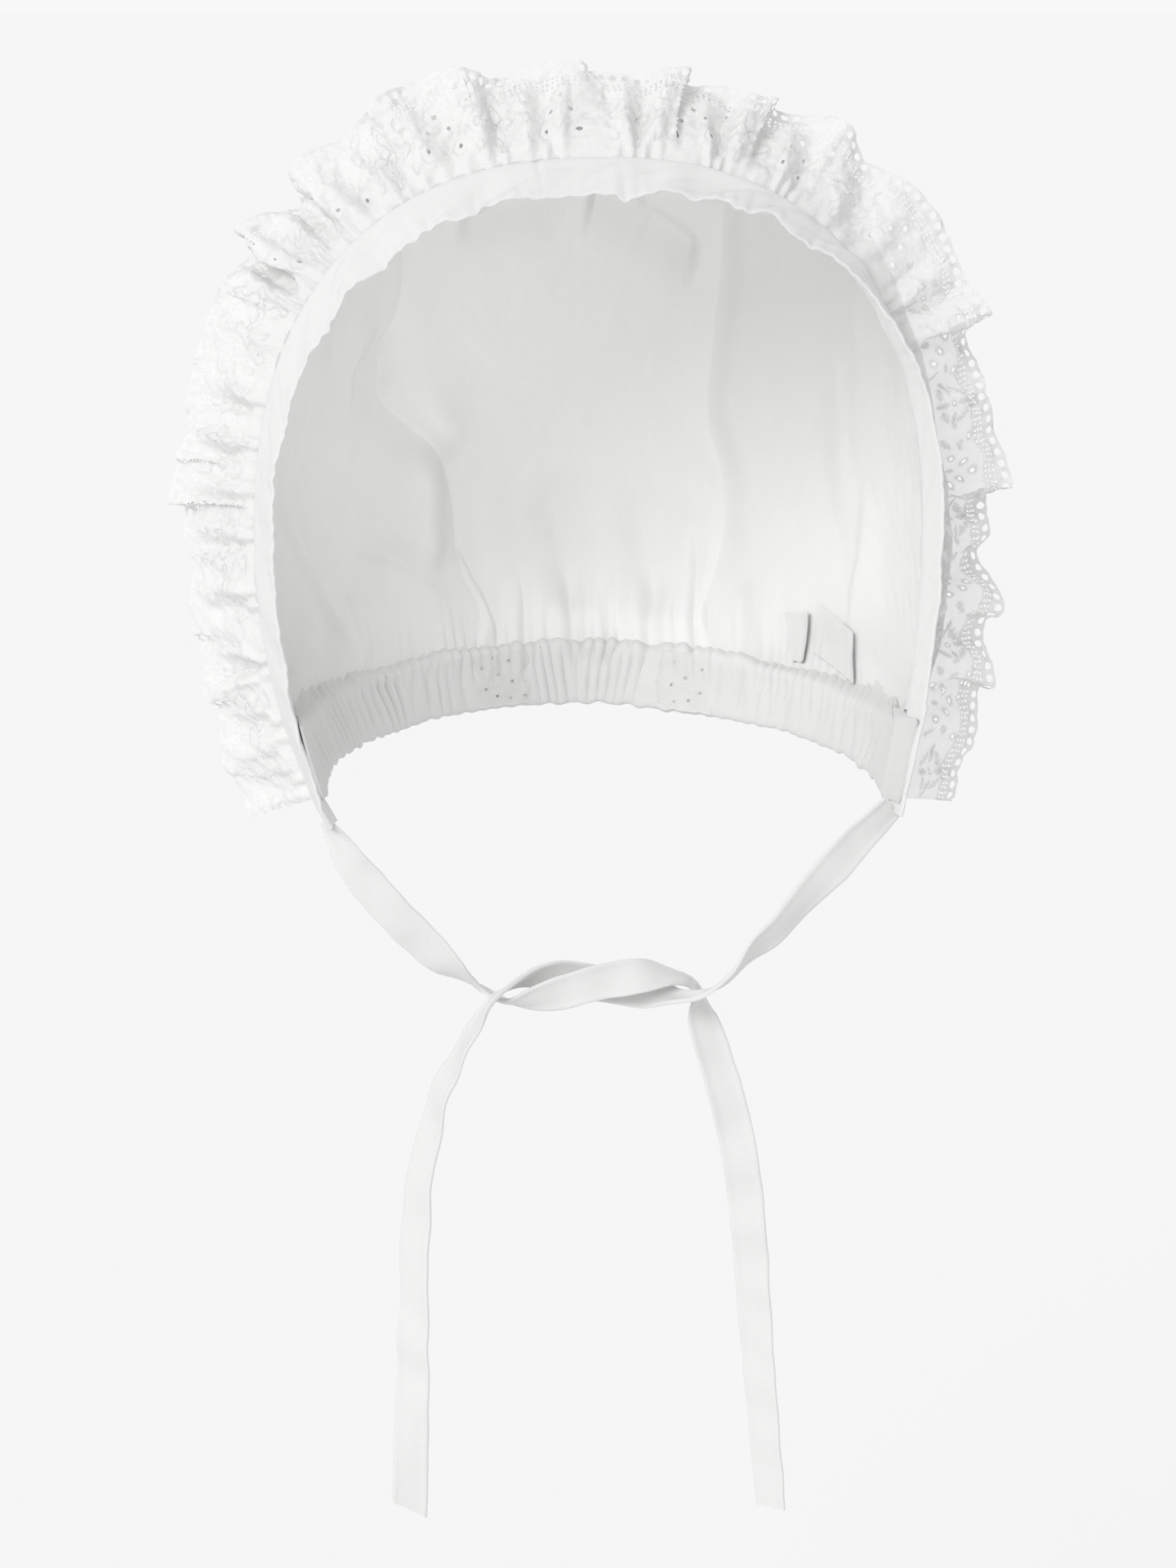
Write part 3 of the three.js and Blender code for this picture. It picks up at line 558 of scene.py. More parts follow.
def creases(tilt, length):
    """How far the creases lift the cloth towards the head."""
    total = 0
    for ta, a, tb, b, rise, steep, soft, fade in rows_of(CREASES):
        run, climb = b - a, (tb - ta) * TILT_MM
        size = math.hypot(run, climb)
        x, y = length - a, (tilt - ta) * TILT_MM
        s = (x * run + y * climb) / size ** 2  # 0 at a, 1 at b
        off = (x * climb - y * run) / size
        body = smoothstep(s, -0.12, 0.12) * (1 - smoothstep(s, 0.82, 1.15)) * (1 - fade * np.clip(s, 0, 1))
        total = total + rise * body * np.exp(-((off / np.where(off > 0, steep, soft)) ** 2))
    return total


GATHER_PITCH, GATHER_REACH = 3.4, 3.2  # of the casing's small pleats: along the edge, up in tilt
GATHER_ENDS = (84, 108)  # they die out between these distances from the middle


def fine_gathers(tilt, length):
    """Small pleats where the casing draws the panels in, dying out up the panel."""
    pleats = np.sin(2 * math.pi * length / GATHER_PITCH + 2.2 * waves(length, 0, 24, 13))
    strength = 0.45 + 0.35 * waves(length, 0, 17, 14)
    strength = strength * np.exp(-(tilt - NAPE_TILT) / GATHER_REACH)
    return strength * pleats * (1 - smoothstep(np.abs(length), *GATHER_ENDS))


def wear(tilt, length):
    """The cloth's whole unevenness, outwards positive."""
    y = tilt * TILT_MM
    waviness = sum(
        height * waves(length, y, pitch, seed)
        for height, pitch, seed in ((0.5, 40, 10), (0.3, 19, 11), (0.08, 7, 12))
    )
    return waviness + fine_gathers(tilt, length) - creases(tilt, length)


# The seams draw the cloth: on the left into a valley, on the right up into a ridge, in mm towards
# the head. The flank on the side panel and the one on the centre panel have their own widths.
SEAM_PULL = table(
    "tilt left right",
    (4, -1.2, 0.6), (10, -3.4, 1.4), (16, -5.2, 1.9), (24, -5.2, 2.4), (32, -3.6, 2.8),
    (38, -1.8, 2.9), (46, -1.8, 2.8), (60, -0.8, 0.9), (90, -0.3, 0.3),
)
SEAM_FLANKS = {-1: (9.0, 5.5), 1: (3.6, 10.0)}


def seam_pull(tilt, from_seam, side):
    """from_seam is positive on the side panel."""
    outer, inner = SEAM_FLANKS[side]
    flank = np.where(from_seam > 0, outer, inner)
    return read(SEAM_PULL, tilt, SIDES[side]) * np.exp(-((from_seam / flank) ** 2))


# How far the elastic draws the panels' lower edges down.
HEM_DROP = table(
    "along drop",
    (-125, 0.6), (-108, 2.4), (-85, 2.2), (-55, 1.7), (0, 1.4), (45, 1.8), (75, 2.8), (95, 3.4),
    (108, 2.6), (125, 0.6),
)
HEM_REACH = 6.0  # degrees of tilt over which that dies out
CORNER_INSET = 0.6  # the side panels end this far short of the corners' line
ROW_CROWDING = 0.25  # the panels' rows are closer towards the nape, where the gathers are


def sewn(tilt, length, out):
    """A point of the made-up crown, drawn down at the nape."""
    p = crown(tilt, length, out)
    p[..., 2] -= read(HEM_DROP, length, "drop") * (1 - smoothstep(tilt, NAPE_TILT, NAPE_TILT + HEM_REACH))
    return p


def relief(tilt, length):
    """How far the made-up cloth stands out from the plain crown."""
    out = wear(tilt, length)
    for side in (-1, 1):
        out = out - seam_pull(tilt, side * length - side * seam_at(tilt, side), side)
    return out


def seam(side):
    return lambda tilt: seam_at(tilt, side)


def corner(side):
    return lambda tilt: side * (np.interp(tilt, rib_tilts, half_length[side]) - CORNER_INSET)


def panel(left, right):
    """The surface of a panel between two lines across the ribs."""
    def surface(u, v):
        tilt = TOP_TILT + (NAPE_TILT - TOP_TILT) * ((1 + ROW_CROWDING) * v - ROW_CROWDING * v * v)
        length = left(tilt) + (right(tilt) - left(tilt)) * u
        return sewn(tilt, length, relief(tilt, length))
    return surface


def make_panel(name, surface, columns, rows, width, material):
    """A cotton panel: a closed wall of the panel's thickness about its surface, its cloth charted width by
    190 millimetres.
    """
    wall = shell(surface, columns, rows, PANEL_WALL, (width, 190))
    piece = make_piece(name, *wall, material, "cotton")


make_panel("crown_panel", panel(seam(-1), seam(1)), 190, 170, 76, COTTON)
make_panel("side_panel_left", panel(corner(-1), seam(-1)), 280, 140, 110, SIDE_COTTON_PAINTED_SHADE)
make_panel("side_panel_right", panel(seam(1), corner(1)), 280, 140, 110, SIDE_COTTON_PAINTED_SHADE)


# ---- face arch, front band ----

arch = {side: rib_line(TOP_TILT, side, FRONT_DROP[side]) for side in (-1, 1)}
ARCH_END = {side: side * arch[side][2][-1] for side in (-1, 1)}


def on_arch(length):
    """x and z on the face arch, which runs on below the crown to the front corners."""
    length = np.clip(length, ARCH_END[-1], ARCH_END[1])
    x, z = np.empty_like(length), np.empty_like(length)
    for side in (-1, 1):
        here = length * side >= 0
        ax, ay, run = arch[side]
        x[here] = side * np.interp(np.abs(length[here]), run, ax)
        z[here] = CORNER_Z + np.interp(np.abs(length[here]), run, ay)
    return join(x, z)


def arch_outward(length):
    run = unit(on_arch(length + 1.0) - on_arch(length - 1.0))
    return join(-run[..., 1], run[..., 0])


# The band's free edge along the arch: flare leans it out (or in), pucker is the height of its small
# teeth, and wrinkle that of the slanting wrinkles across the band.
BAND_EDGE = table(
    "along flare pucker wrinkle",
    (-190, 0.3, 0.15, 0.3), (-172, -1.6, 0.15, 0.3), (-150, -2.8, 0.2, 0.3), (-110, -3.3, 0.3, 0.4),
    (-85, -5, 0.35, 0.5), (-60, -6.5, 0.4, 0.9), (-30, -7, 0.3, 1.2), (0, -7, 0.3, 1.3),
    (40, -5, 0.3, 1.2), (75, 0, 0.2, 0.7), (105, 3.2, 0.1, 0.3), (150, 2.4, 0.08, 0.2),
    (190, 1.6, 0.05, 0.2),
)
BAND_BACK, BAND_FRONT = 7.9, -1.0
BAND_ROWS = 20
BAND_ROLL, BAND_ROUND = 0.45, 0.13  # how far its sewn edge rolls out over the frill's, and its share
BAND_JOIN, JOIN_DEPTH, JOIN_WIDTH = -14.6, 0.4, 0.9  # where its two ends are sewn together


def band_bow(v):
    """How much of the flare is reached a share v of the way from the frill to the free edge."""
    return v * np.sqrt(2 - v)


def front_band(u, v):
    length = ARCH_END[-1] + (ARCH_END[1] - ARCH_END[-1]) * u
    v = np.clip(v, 0, 1)
    pucker = read(BAND_EDGE, length, "pucker")
    tooth = waves(length, 0, 4.6, 24) + 0.6 * waves(length, 0, 2.4, 26)
    flare = read(BAND_EDGE, length, "flare") * band_bow(v)
    flare = flare + pucker * tooth * v ** 1.5 + BAND_ROLL * np.exp(-((v / BAND_ROUND) ** 2))
    slant = length + 9 * v
    wrinkle = waves(slant, v * 7, 15, 21) + 0.5 * waves(slant, v * 9, 6.5, 25)
    flare = flare + 0.8 * read(BAND_EDGE, length, "wrinkle") * wrinkle * smoothstep(v, 0, 0.35)
    flare = flare - JOIN_DEPTH * np.exp(-(((length - BAND_JOIN) / JOIN_WIDTH) ** 2))
    p = on_arch(length) + arch_outward(length) * flare[..., None]
    y = BAND_BACK + (BAND_FRONT - BAND_BACK) * v + 0.35 * waves(length, 0, 11, 23) * v ** 2
    return join(p[..., 0], y, p[..., 1])


def band_half(v):
    """Half the band's thickness, which lessens towards its fold."""
    return BAND_WALL / 2 * (1 - 0.6 * smoothstep(v, 0.3, 0.95))


band_wall = 2 * band_half(np.linspace(0, 1, BAND_ROWS + 1))[None, :]
make_piece("front_band", *shell(front_band, 900, BAND_ROWS, band_wall, (375, 11), round_rows=0.14), BAND_COTTON_PAINTED_SHADE,
           "cotton_band")


# ---- nape casing ----

NAPE_HEIGHT, NAPE_SIDE_DROP = 14.0, 2.2
NAPE_INSET = 1.0  # how far its lower edge stands in from its upper one, at the back
NAPE_LAP, NAPE_LAP_SHARE = 1.4, 0.1  # its upper edge covers the panels' ends by this much
NAPE_CLOTH, NAPE_BURY = 1.7, 0.1  # its wall, and how deep that lies in the panels' face
NAPE_LOW, NAPE_RISE = 3.0, 9.0  # its lower edge: height at the corners, and rise to the back
NAPE_TUCK = 8.4  # how far its two ends run on inside the front band
CORNER_TUCK, CORNER_REACH = 2.2, 25.0  # how far the corners draw it in, and over what distance
BAND_HOLD, BAND_GAP = 9.0, 0.4  # it lies against the band this far back, with this gap
DEGREE = 0.0175  # in radians
# The elastic's pleats along the nape: their pitch and depth. They rest where lace crosses.
NAPE_PLEATS = table(
    "along pitch depth",
    (-150, 6.0, 0.0), (-142, 6.0, 0.0), (-134, 5.6, 1.4), (-120, 5.2, 2.2), (-95, 4.4, 2.6),
    (-80, 3.4, 2.5), (-60, 4.2, 2.4), (-42, 4.6, 2.0), (-31, 5, 1.2), (-27, 5, 0.3), (-12, 5, 0.3),
    (-8, 2.6, 2.6), (-4, 2.6, 1.8), (6, 3.2, 1.3), (16, 2.8, 1.8), (19, 5, 0.3), (34, 6, 0.3),
    (44, 6, 0.9), (50, 5, 1.6), (60, 6, 0.6), (80, 7, 0.5), (92, 6, 0.9), (99, 5.5, 0.8),
    (104, 4.6, 1.5), (116, 4.6, 1.3), (121, 6, 0.2), (150, 9, 0.0),
)
PLEAT_STEP = 0.25
pleat_places = np.linspace(-150, 150, 1201)
pleat_counts = np.cumsum(PLEAT_STEP / read(NAPE_PLEATS, pleat_places, "pitch"))
furrow_depths = np.random.default_rng(36).uniform(0.25, 1.3, 160)  # shares of the depth


def nape_pleats(length, v):
    """Soft puffs between sharp furrows of uneven depth, which lean a little and run out at the
    edges."""
    place_on = length + (2.4 * waves(length, 0, 38, 31) + 6 * smoothstep(length, 92, 106)) * (v - 0.5)
    count = np.interp(place_on, pleat_places, pleat_counts) + 0.4 * waves(length, v * 3, 17, 32)
    furrow = 1 - np.abs(np.sin(math.pi * count)) ** 0.8
    own_depth = furrow_depths[np.round(count).astype(int) % len(furrow_depths)]
    depth = read(NAPE_PLEATS, length, "depth") * own_depth
    start = 0.06 + 0.2 * smoothstep(np.abs(length), 92, 108)
    run_out = smoothstep(v, start, start + 0.34) * (0.25 + 0.75 * smoothstep(1 - v, 0, 0.3))
    return -depth * furrow * run_out + 0.25 * waves(length, v * 8, 9, 34)


def nape_lower_edge(low_rib, y, length, v):
    drop = NAPE_SIDE_DROP * smoothstep(low_rib[..., 0], 0, FOOT[1])
    edge = NAPE_LOW + NAPE_RISE * (1 - np.exp(-np.maximum(y - CORNER_Y, 0) / CORNER_REACH)) - drop
    return np.minimum(edge, low_rib[..., 2] - NAPE_HEIGHT) + 0.35 * waves(length, 0, 3.8, 33)


def nape_upper_part(low_rib, y, length, v):
    """Over the panels' ends, where the casing's edge lies in the panels and then covers them."""
    lap = NAPE_LAP + 0.2 * waves(length, 0, 4.5, 35)
    lap = lap * (0.5 + 0.5 * smoothstep(y, CORNER_Y, CORNER_Y + CORNER_REACH))
    over = np.clip(1 - v / NAPE_LAP_SHARE, 0, 1)  # from 1 at the upper edge to 0 where the panels end
    reach = np.hypot(low_rib[..., 1] - CORNER_Y, low_rib[..., 2] - CORNER_Z)
    tilt = NAPE_TILT + over * lap / (DEGREE * np.maximum(reach, 12))
    sunk = 0.3 + smoothstep(np.abs(length), 95, 112)  # its edge lies this deep in the panel
    lifted = NAPE_CLOTH / 2 - NAPE_BURY + sunk
    rise = PANEL_WALL / 2 - sunk + lifted * smoothstep(v, -0.02, 0.12 + 0.1 * sunk)
    return sewn(tilt, length, relief(tilt, length) * (1 - smoothstep(v, 0.2, 0.7)) - rise)


def nape_surface(length, v, inward=0.0):
    """The casing's middle surface. v runs from its upper edge to the lower; inward lifts off it."""
    low_rib = crown(np.full_like(length, NAPE_TILT), length)
    past = np.clip(np.maximum(length - half_length[1][0], -length - half_length[-1][0]), 0, NAPE_TUCK)
    y = low_rib[..., 1] - past
    p = nape_upper_part(low_rib, y, length, v)
    p[..., 1] -= past
    down = np.clip((v - NAPE_LAP_SHARE) / (1 - NAPE_LAP_SHARE), 0, 1)
    p[..., 2] += (nape_lower_edge(low_rib, y, length, v) - p[..., 2]) * down
    head = unit(join(-p[..., 0], 30 - y, 0 * y))
    inset = NAPE_INSET * smoothstep(y, CORNER_Y, 60) * v
    p = p + head * (inset + inward + nape_pleats(length, v))[..., None]
    # from the corners on, the casing follows the front band's lean and then its very form
    side = np.where(p[..., 0] < 0, -1, 1)
    lean = np.where(side < 0, *(FOOT[s] - arch[s][0][-1] for s in (-1, 1)))
    low = np.clip((CORNER_Z - p[..., 2]) / CORNER_Z, 0, 1)
    from_corner = y - CORNER_Y
    tuck = CORNER_TUCK * np.exp(-from_corner / CORNER_REACH)
    tuck = tuck + lean * low * np.exp(-((from_corner / 60) ** 2))
    p[..., 0] -= side * np.minimum(tuck * smoothstep(v, 0, 0.2), np.abs(p[..., 0]))
    near = np.exp(-((np.maximum(from_corner, 0) / BAND_HOLD) ** 2))
    on_band = np.clip((BAND_BACK - y) / (BAND_BACK - BAND_FRONT), 0, 1)
    for s, (arch_x, arch_z, arch_run) in arch.items():
        heights = (CORNER_Z + arch_z)[::-1]
        band_x, run = (np.interp(p[..., 2], heights, column[::-1]) for column in (arch_x, arch_run))
        band_x = band_x + read(BAND_EDGE, s * run, "flare") * band_bow(on_band)
        apart = band_half(on_band) + BAND_GAP + 0.5 * np.exp(-past / 3) + 0.5 * inward
        beside = s * (band_x - apart)
        p[..., 0] = np.where(side == s, p[..., 0] * (1 - near) + beside * near, p[..., 0])
    return p


NAPE_ENDS = (-(half_length[-1][0] + NAPE_TUCK), half_length[1][0] + NAPE_TUCK)
NAPE_LENGTH = NAPE_ENDS[1] - NAPE_ENDS[0]
NAPE_COLUMNS = 1200


def nape_band(u, v):
    return nape_surface(NAPE_ENDS[0] + NAPE_LENGTH * u, v)


column = np.arange(NAPE_COLUMNS + 1)
from_end = np.minimum(column, NAPE_COLUMNS - column) * NAPE_LENGTH / NAPE_COLUMNS
# the casing is thinner where its ends are tucked in
nape_wall = NAPE_CLOTH * (0.3 + 0.7 * smoothstep(from_end, 4, 12))[:, None]
make_piece("nape_band", *shell(nape_band, NAPE_COLUMNS, 22, nape_wall, (430, 16), round_rows=0.12), CASING_PAINTED_SHADE,
           "cotton_band")


# ---- frill ----

FRILL_WIDTH, FRILL_ROOT_OUT, FRILL_ROOT_Y = 25.0, 0.5, 7.6
FRILL_STEPS = 8  # in which the lean is followed from the seam to the edge
# Folds of the frill. along: where each crest stands on the seam; crest, valley: lean of the outer
# edge there and behind it; lap: how far the crest slides over its neighbour; root: lean at the seam.
FOLDS = table(
    "along crest valley lap root",
    (-188, 44, 52, 0, 60), (-176, 44, 50, -1, 62), (-160, 38, 54, -3, 64), (-147, 46, 48, -2, 65),
    (-131, 40, 46, -2, 66), (-121, 26, 36, -2, 66), (-112, 28, 38, -2, 64), (-102, 38, 42, -2, 60),
    (-92, 42, 42, 0, 56), (-80, 28, 60, -1, 52), (-69.2, 20, 66, -3, 48), (-56, 26, 46, -1, 44),
    (-41, 0, 22, 0, 38), (-26, 10, 46, 0, 34), (-8, 34, 46, 3, 36), (13, 32, 58, 4, 38),
    (29, 30, 56, 4, 38), (43, 20, 36, 2, 40), (60, 22, 22, 0, 42), (80, 4, 52, 4, 48),
    (99, 28, 34, 0, 56), (114, 14, 44, 3, 60), (124, 36, 54, 1, 62), (140, 18, 36, 2, 64),
    (155, 16, 40, 3, 66), (170, 30, 38, 1, 66), (184, 42, 48, 0, 64),
)


def frill(phase, across):
    """The frill's surface. phase counts its folds; across runs from the seam to the edge."""
    i = np.clip(np.floor(phase).astype(int), 0, len(FOLDS["along"]) - 2)
    s = phase - i
    blend = s * s * (3 - 2 * s)

    def mix(column):
        return FOLDS[column][i] + (FOLDS[column][i + 1] - FOLDS[column][i]) * blend

    along = FOLDS["along"][i] + (FOLDS["along"][i + 1] - FOLDS["along"][i]) * s
    wave = (1 + np.cos(2 * math.pi * s)) / 2
    tip = np.radians(mix("crest") * wave + FOLDS["valley"][i] * (1 - wave))
    root = np.radians(mix("root"))
    out, y, step = FRILL_ROOT_OUT, FRILL_ROOT_Y, across / FRILL_STEPS
    for k in range(FRILL_STEPS):
        here = (k + 0.5) / FRILL_STEPS * across / FRILL_WIDTH
        lean = (root + (tip - root) * here ** 0.7) * (0.4 + 0.6 * smoothstep(here, 0, 0.2))
        out = out + step * np.cos(lean)
        y = y + step * np.sin(lean)
    slide = mix("lap") * (across / FRILL_WIDTH) ** 1.3 * np.cos(2 * math.pi * s)
    length = np.clip(along, ARCH_END[-1] + 1, ARCH_END[1] - 1)
    outward = arch_outward(length)
    p = on_arch(length) + outward * out[..., None]
    return join(p[..., 0] + slide * outward[..., 1], y, p[..., 1] - slide * outward[..., 0])


# ---- eyelet lace ----

EDGE_HOLE_INSIDE, EDGE_BORDER = 1.65, 0.9  # how far in the edge's holes lie, and the cloth past them
PIN_RADIUS = 0.33
PICOT_PITCH, PICOT_HEIGHT = 1.05, 0.18
EDGE_CORNERS, PIN_CORNERS, EYELET_CORNERS = 9, 6, 10
PETAL_RINGS = ((1.0, 12), (0.72, 10), (0.3, 6))  # share of a petal's size, and points
RING_HEIGHT, PETAL_HEIGHT = 0.1, 0.22  # how far the stitches stand up
ROW_SHARE = 0.866  # rows of the plain ground, as a share of its spacing
WELD = 0.001


def ring_points(x, y, radius, count, stretch=1.0):
    a = np.arange(count) * 2 * math.pi / count + 0.3
    return join(x + radius * np.cos(a), y + radius * stretch * np.sin(a))


class Lace:
    """Eyelet lace, charted flat as one repeat: x along the strip from start, y from the sewn edge to
    the scalloped one. holes and petals are tables of one repeat, whose inside counts back from the
    full width. pins: how many pin holes each row of pin_rows has; spacing: of the plain ground's
    points."""

    def __init__(self, width, repeat, depth, start, spacing, holes, petals, edge_holes, edge_hole,
                 pins=0, pin_rows=()):
        self.width, self.repeat, self.depth = width, repeat, depth
        self.start, self.end, self.spacing = start, start + repeat, spacing
        self.holes, self.petals = holes, petals
        self.edge_holes, self.edge_hole = edge_holes, edge_hole
        self.pins, self.pin_rows = pins, pin_rows

    def edge(self, x, share=1.0):
        """The scalloped edge, at a share of its depth."""
        return self.width - self.depth * share * (1 - np.abs(np.sin(math.pi * x / self.repeat)) ** 0.75)

    def in_repeat(self, x):
        return self.start + (x - self.start) % self.repeat

    def cuts(self):
        """The holes: middle, radius, corners, stretch in y, and width of the stitched ring."""
        found = []
        for k in range(self.edge_holes):
            x = self.start + (k + 0.5) * self.repeat / self.edge_holes
            y = self.edge(x) - EDGE_HOLE_INSIDE
            found.append((x, y, self.edge_hole, EDGE_CORNERS, 1.05, 0.0))
        loose = np.random.default_rng(61)
        for row, inside in enumerate(self.pin_rows):
            for k in range(self.pins):
                x = self.start + (k + 0.5) * self.repeat / self.pins + loose.uniform(-0.16, 0.16)
                y = self.edge(x, 0.95 - 0.1 * row) - inside
                found.append((x, y, PIN_RADIUS * loose.uniform(0.7, 1.1), PIN_CORNERS, 1.0, 0.0))
        for x, inside, radius, ring in rows_of(self.holes):
            found.append((self.in_repeat(x), self.width - inside, radius, EYELET_CORNERS, 1.0, ring))
        return found

    def border(self):
        """The outline of the repeat, with picots along its edge."""
        rim = np.linspace(self.start, self.end, int(self.repeat / PICOT_PITCH) * 4 + 1)
        ragged = -PICOT_HEIGHT * np.cos(2 * math.pi * np.arange(len(rim)) / 4)
        top = join(rim, self.edge(rim) + ragged)
        side = np.linspace(0, top[0, 1], int(top[0, 1] / self.spacing) + 1)[:-1]
        foot = np.linspace(self.end, self.start, int(self.repeat / self.spacing) + 1)[1:-1]
        return np.concatenate([join(self.start, side), top, join(self.end, side)[::-1], join(foot, 0.0)])

    def fixed_points(self, cuts):
        """The points of the outline, holes, rings and petals, and the edges that stay."""
        points, edges = [], []

        def add_loop(loop):
            first = len(points)
            points.extend(loop.tolist())
            edges.extend((first + k, first + (k + 1) % len(loop)) for k in range(len(loop)))

        add_loop(self.border())
        for x, y, radius, corners, stretch, ring in cuts:
            add_loop(ring_points(x, y, radius, corners, stretch))
            for share in (0.45, 1) if ring else ():
                points.extend(ring_points(x, y, radius + ring * share, corners, stretch).tolist())
        for x, inside, turn, length, wide in rows_of(self.petals):
            x = self.in_repeat(x)
            c, s = math.cos(math.radians(turn)), math.sin(math.radians(turn))
            for share, count in PETAL_RINGS:
                unit_ring = ring_points(0, 0, 1.0, count)
                a, b = unit_ring[:, 0] * length / 2 * share, unit_ring[:, 1] * wide / 2 * share
                loop = join(x + a * c - b * s, self.width - inside + a * s + b * c)
                inner = (loop[:, 0] > self.start + 0.3) & (loop[:, 0] < self.end - 0.3)
                points.extend(loop[inner].tolist())
        return np.array(points), edges

    def ground(self, fixed):
        """Points between the fixed ones, in even rows."""
        rows = []
        for row in range(1, int(self.width / self.spacing / ROW_SHARE) + 1):
            first = self.start + self.spacing * (0.5 + 0.5 * (row % 2))
            x = np.arange(first, self.end - self.spacing * 0.45, self.spacing)
            rows.append(join(x, row * self.spacing * ROW_SHARE))
        found = np.concatenate(rows)
        found = found[found[:, 1] < self.edge(found[:, 0]) - 0.5]
        apart = np.linalg.norm(found[:, None] - fixed[None], axis=-1).min(axis=1)
        return found[apart > self.spacing * 0.42]

    def stitches(self, points, cuts):
        """How far the stitches raise each point, and its marks: place across a rib, and how far it
        is stitched over."""
        raised, ribs, mask = np.zeros(len(points)), np.zeros(len(points)), np.zeros(len(points))
        for x, y, radius, _, stretch, ring in cuts:
            for wrap in (-self.repeat, 0, self.repeat) if ring else ():
                dx, dy = points[:, 0] - x - wrap, points[:, 1] - y
                r = np.hypot(dx, dy / stretch)
                h = np.clip(1 - ((r - radius - ring * 0.45) / (ring * 0.6)) ** 2, 0, 1)
                raised = np.maximum(raised, RING_HEIGHT * h)
                round_it = np.abs(np.arctan2(dy, dx)) * (radius + ring / 2)
                ribs = np.where(r < radius + 2 * ring, round_it, ribs)
                mask = np.maximum(mask, smoothstep(h, 0, 0.5))
        for x, inside, turn, length, wide in rows_of(self.petals):
            c, s = math.cos(math.radians(turn)), math.sin(math.radians(turn))
            for wrap in (-self.repeat, 0, self.repeat):
                dx, dy = points[:, 0] - x - wrap, points[:, 1] - (self.width - inside)
                a, b = dx * c + dy * s, -dx * s + dy * c
                away = (2 * a / length) ** 2 + (2 * b / wide) ** 2
                h = np.clip(1 - away, 0, 1)
                raised = np.maximum(raised, PETAL_HEIGHT * h)
                ribs = np.where(away < 2.6, a, ribs)
                mask = np.maximum(mask, smoothstep(h, 0, 0.25))
        reach = max(self.pin_rows, default=EDGE_HOLE_INSIDE + EDGE_BORDER)
        from_edge = self.edge(points[:, 0]) - points[:, 1]
        mask = np.maximum(mask, 1 - smoothstep(from_edge, reach + 0.5, reach + 1.0))
        return raised, join(ribs, mask)

    def one_repeat(self):
        """Flat points, triangles, and the stitches' heights and marks."""
        cuts = self.cuts()
        fixed, edges = self.fixed_points(cuts)
        wanted = np.concatenate([fixed, self.ground(fixed)])
        points, _, triangles, *_ = delaunay_2d_cdt([Vector(p) for p in wanted], edges, [], 0, 1e-5)
        points = np.array([(p.x, p.y) for p in points])
        triangles = np.array([t for t in triangles if len(t) == 3])
        middle = points[triangles].mean(axis=1)
        keep = middle[:, 1] < self.edge(middle[:, 0]) + 0.02
        for x, y, radius, _, stretch, _ in cuts:
            keep &= np.hypot(middle[:, 0] - x, (middle[:, 1] - y) / stretch) > radius * 0.92
        return points, triangles[keep], *self.stitches(points, cuts)

    def strip(self, total):
        """As many whole repeats as the total takes, welded where they meet."""
        points, triangles, raised, marks = self.one_repeat()
        count = int(math.floor((total - self.start) / self.repeat))
        all_points = np.concatenate([points + [k * self.repeat, 0] for k in range(count)])
        all_triangles = np.concatenate([triangles + k * len(points) for k in range(count)])
        key = np.round(all_points / WELD).astype(np.int64)
        _, first, back = np.unique(key, axis=0, return_index=True, return_inverse=True)
        return (all_points[first], back.ravel()[all_triangles], np.tile(raised, count)[first],
                np.tile(marks, (count, 1))[first])


def drop_unused(points, triangles, *others):
    used = np.unique(triangles)
    new = np.full(len(points), -1)
    new[used] = np.arange(len(used))
    return points[used], new[triangles], *(o[used] for o in others)


def flower(middle, reach, length, width, step):
    """Petals that point outwards, one every step degrees, round a point at along 0."""
    turns = [(a, math.radians(a)) for a in range(0, 360, step)]
    return [(reach * math.cos(t), middle + reach * math.sin(t), a, length, width) for a, t in turns]


# ring: how wide the oversewn ring round a hole is
LACE_HOLES = table(
    "along inside radius ring",
    (17, 9.2, 0.6, 0.85), (14.4, 12.8, 0.55, 0.85), (19.6, 12.8, 0.55, 0.85), (12.6, 17.6, 0.55, 0.9),
    (21.4, 17.6, 0.55, 0.9), (0, 14, 0.35, 0.5), (8.2, 8.6, 0.5, 0.6), (25.8, 8.6, 0.5, 0.6),
)
LACE_PETALS = table(  # satin-stitched petals and leaves: middle, direction in degrees, size
    "along inside turn length width",
    *flower(14, 4.1, 5.0, 2.0, 45),
    (8.6, 17.5, 60, 4.4, 1.7), (25.4, 17.5, 120, 4.4, 1.7), (9.6, 12.6, -50, 4.2, 1.7),
    (24.4, 12.6, 230, 4.2, 1.7), (17, 15.6, 90, 3.4, 1.6),
)
FRILL_LACE = Lace(
    width=FRILL_WIDTH, repeat=34.0, depth=3.2, start=6.8, spacing=0.8, holes=LACE_HOLES,
    petals=LACE_PETALS, edge_holes=13, edge_hole=0.84, pins=27, pin_rows=(4.1, 5.1, 6.1),
)
# How open the weave of the frill's ground is: drawn level on the right, crowded elsewhere.
OPENNESS = table("along open", (-190, 0.06), (0, 0.06), (45, 0.2), (75, 0.7), (100, 1.0), (190, 1.0))
NORMAL_STEP = 0.4


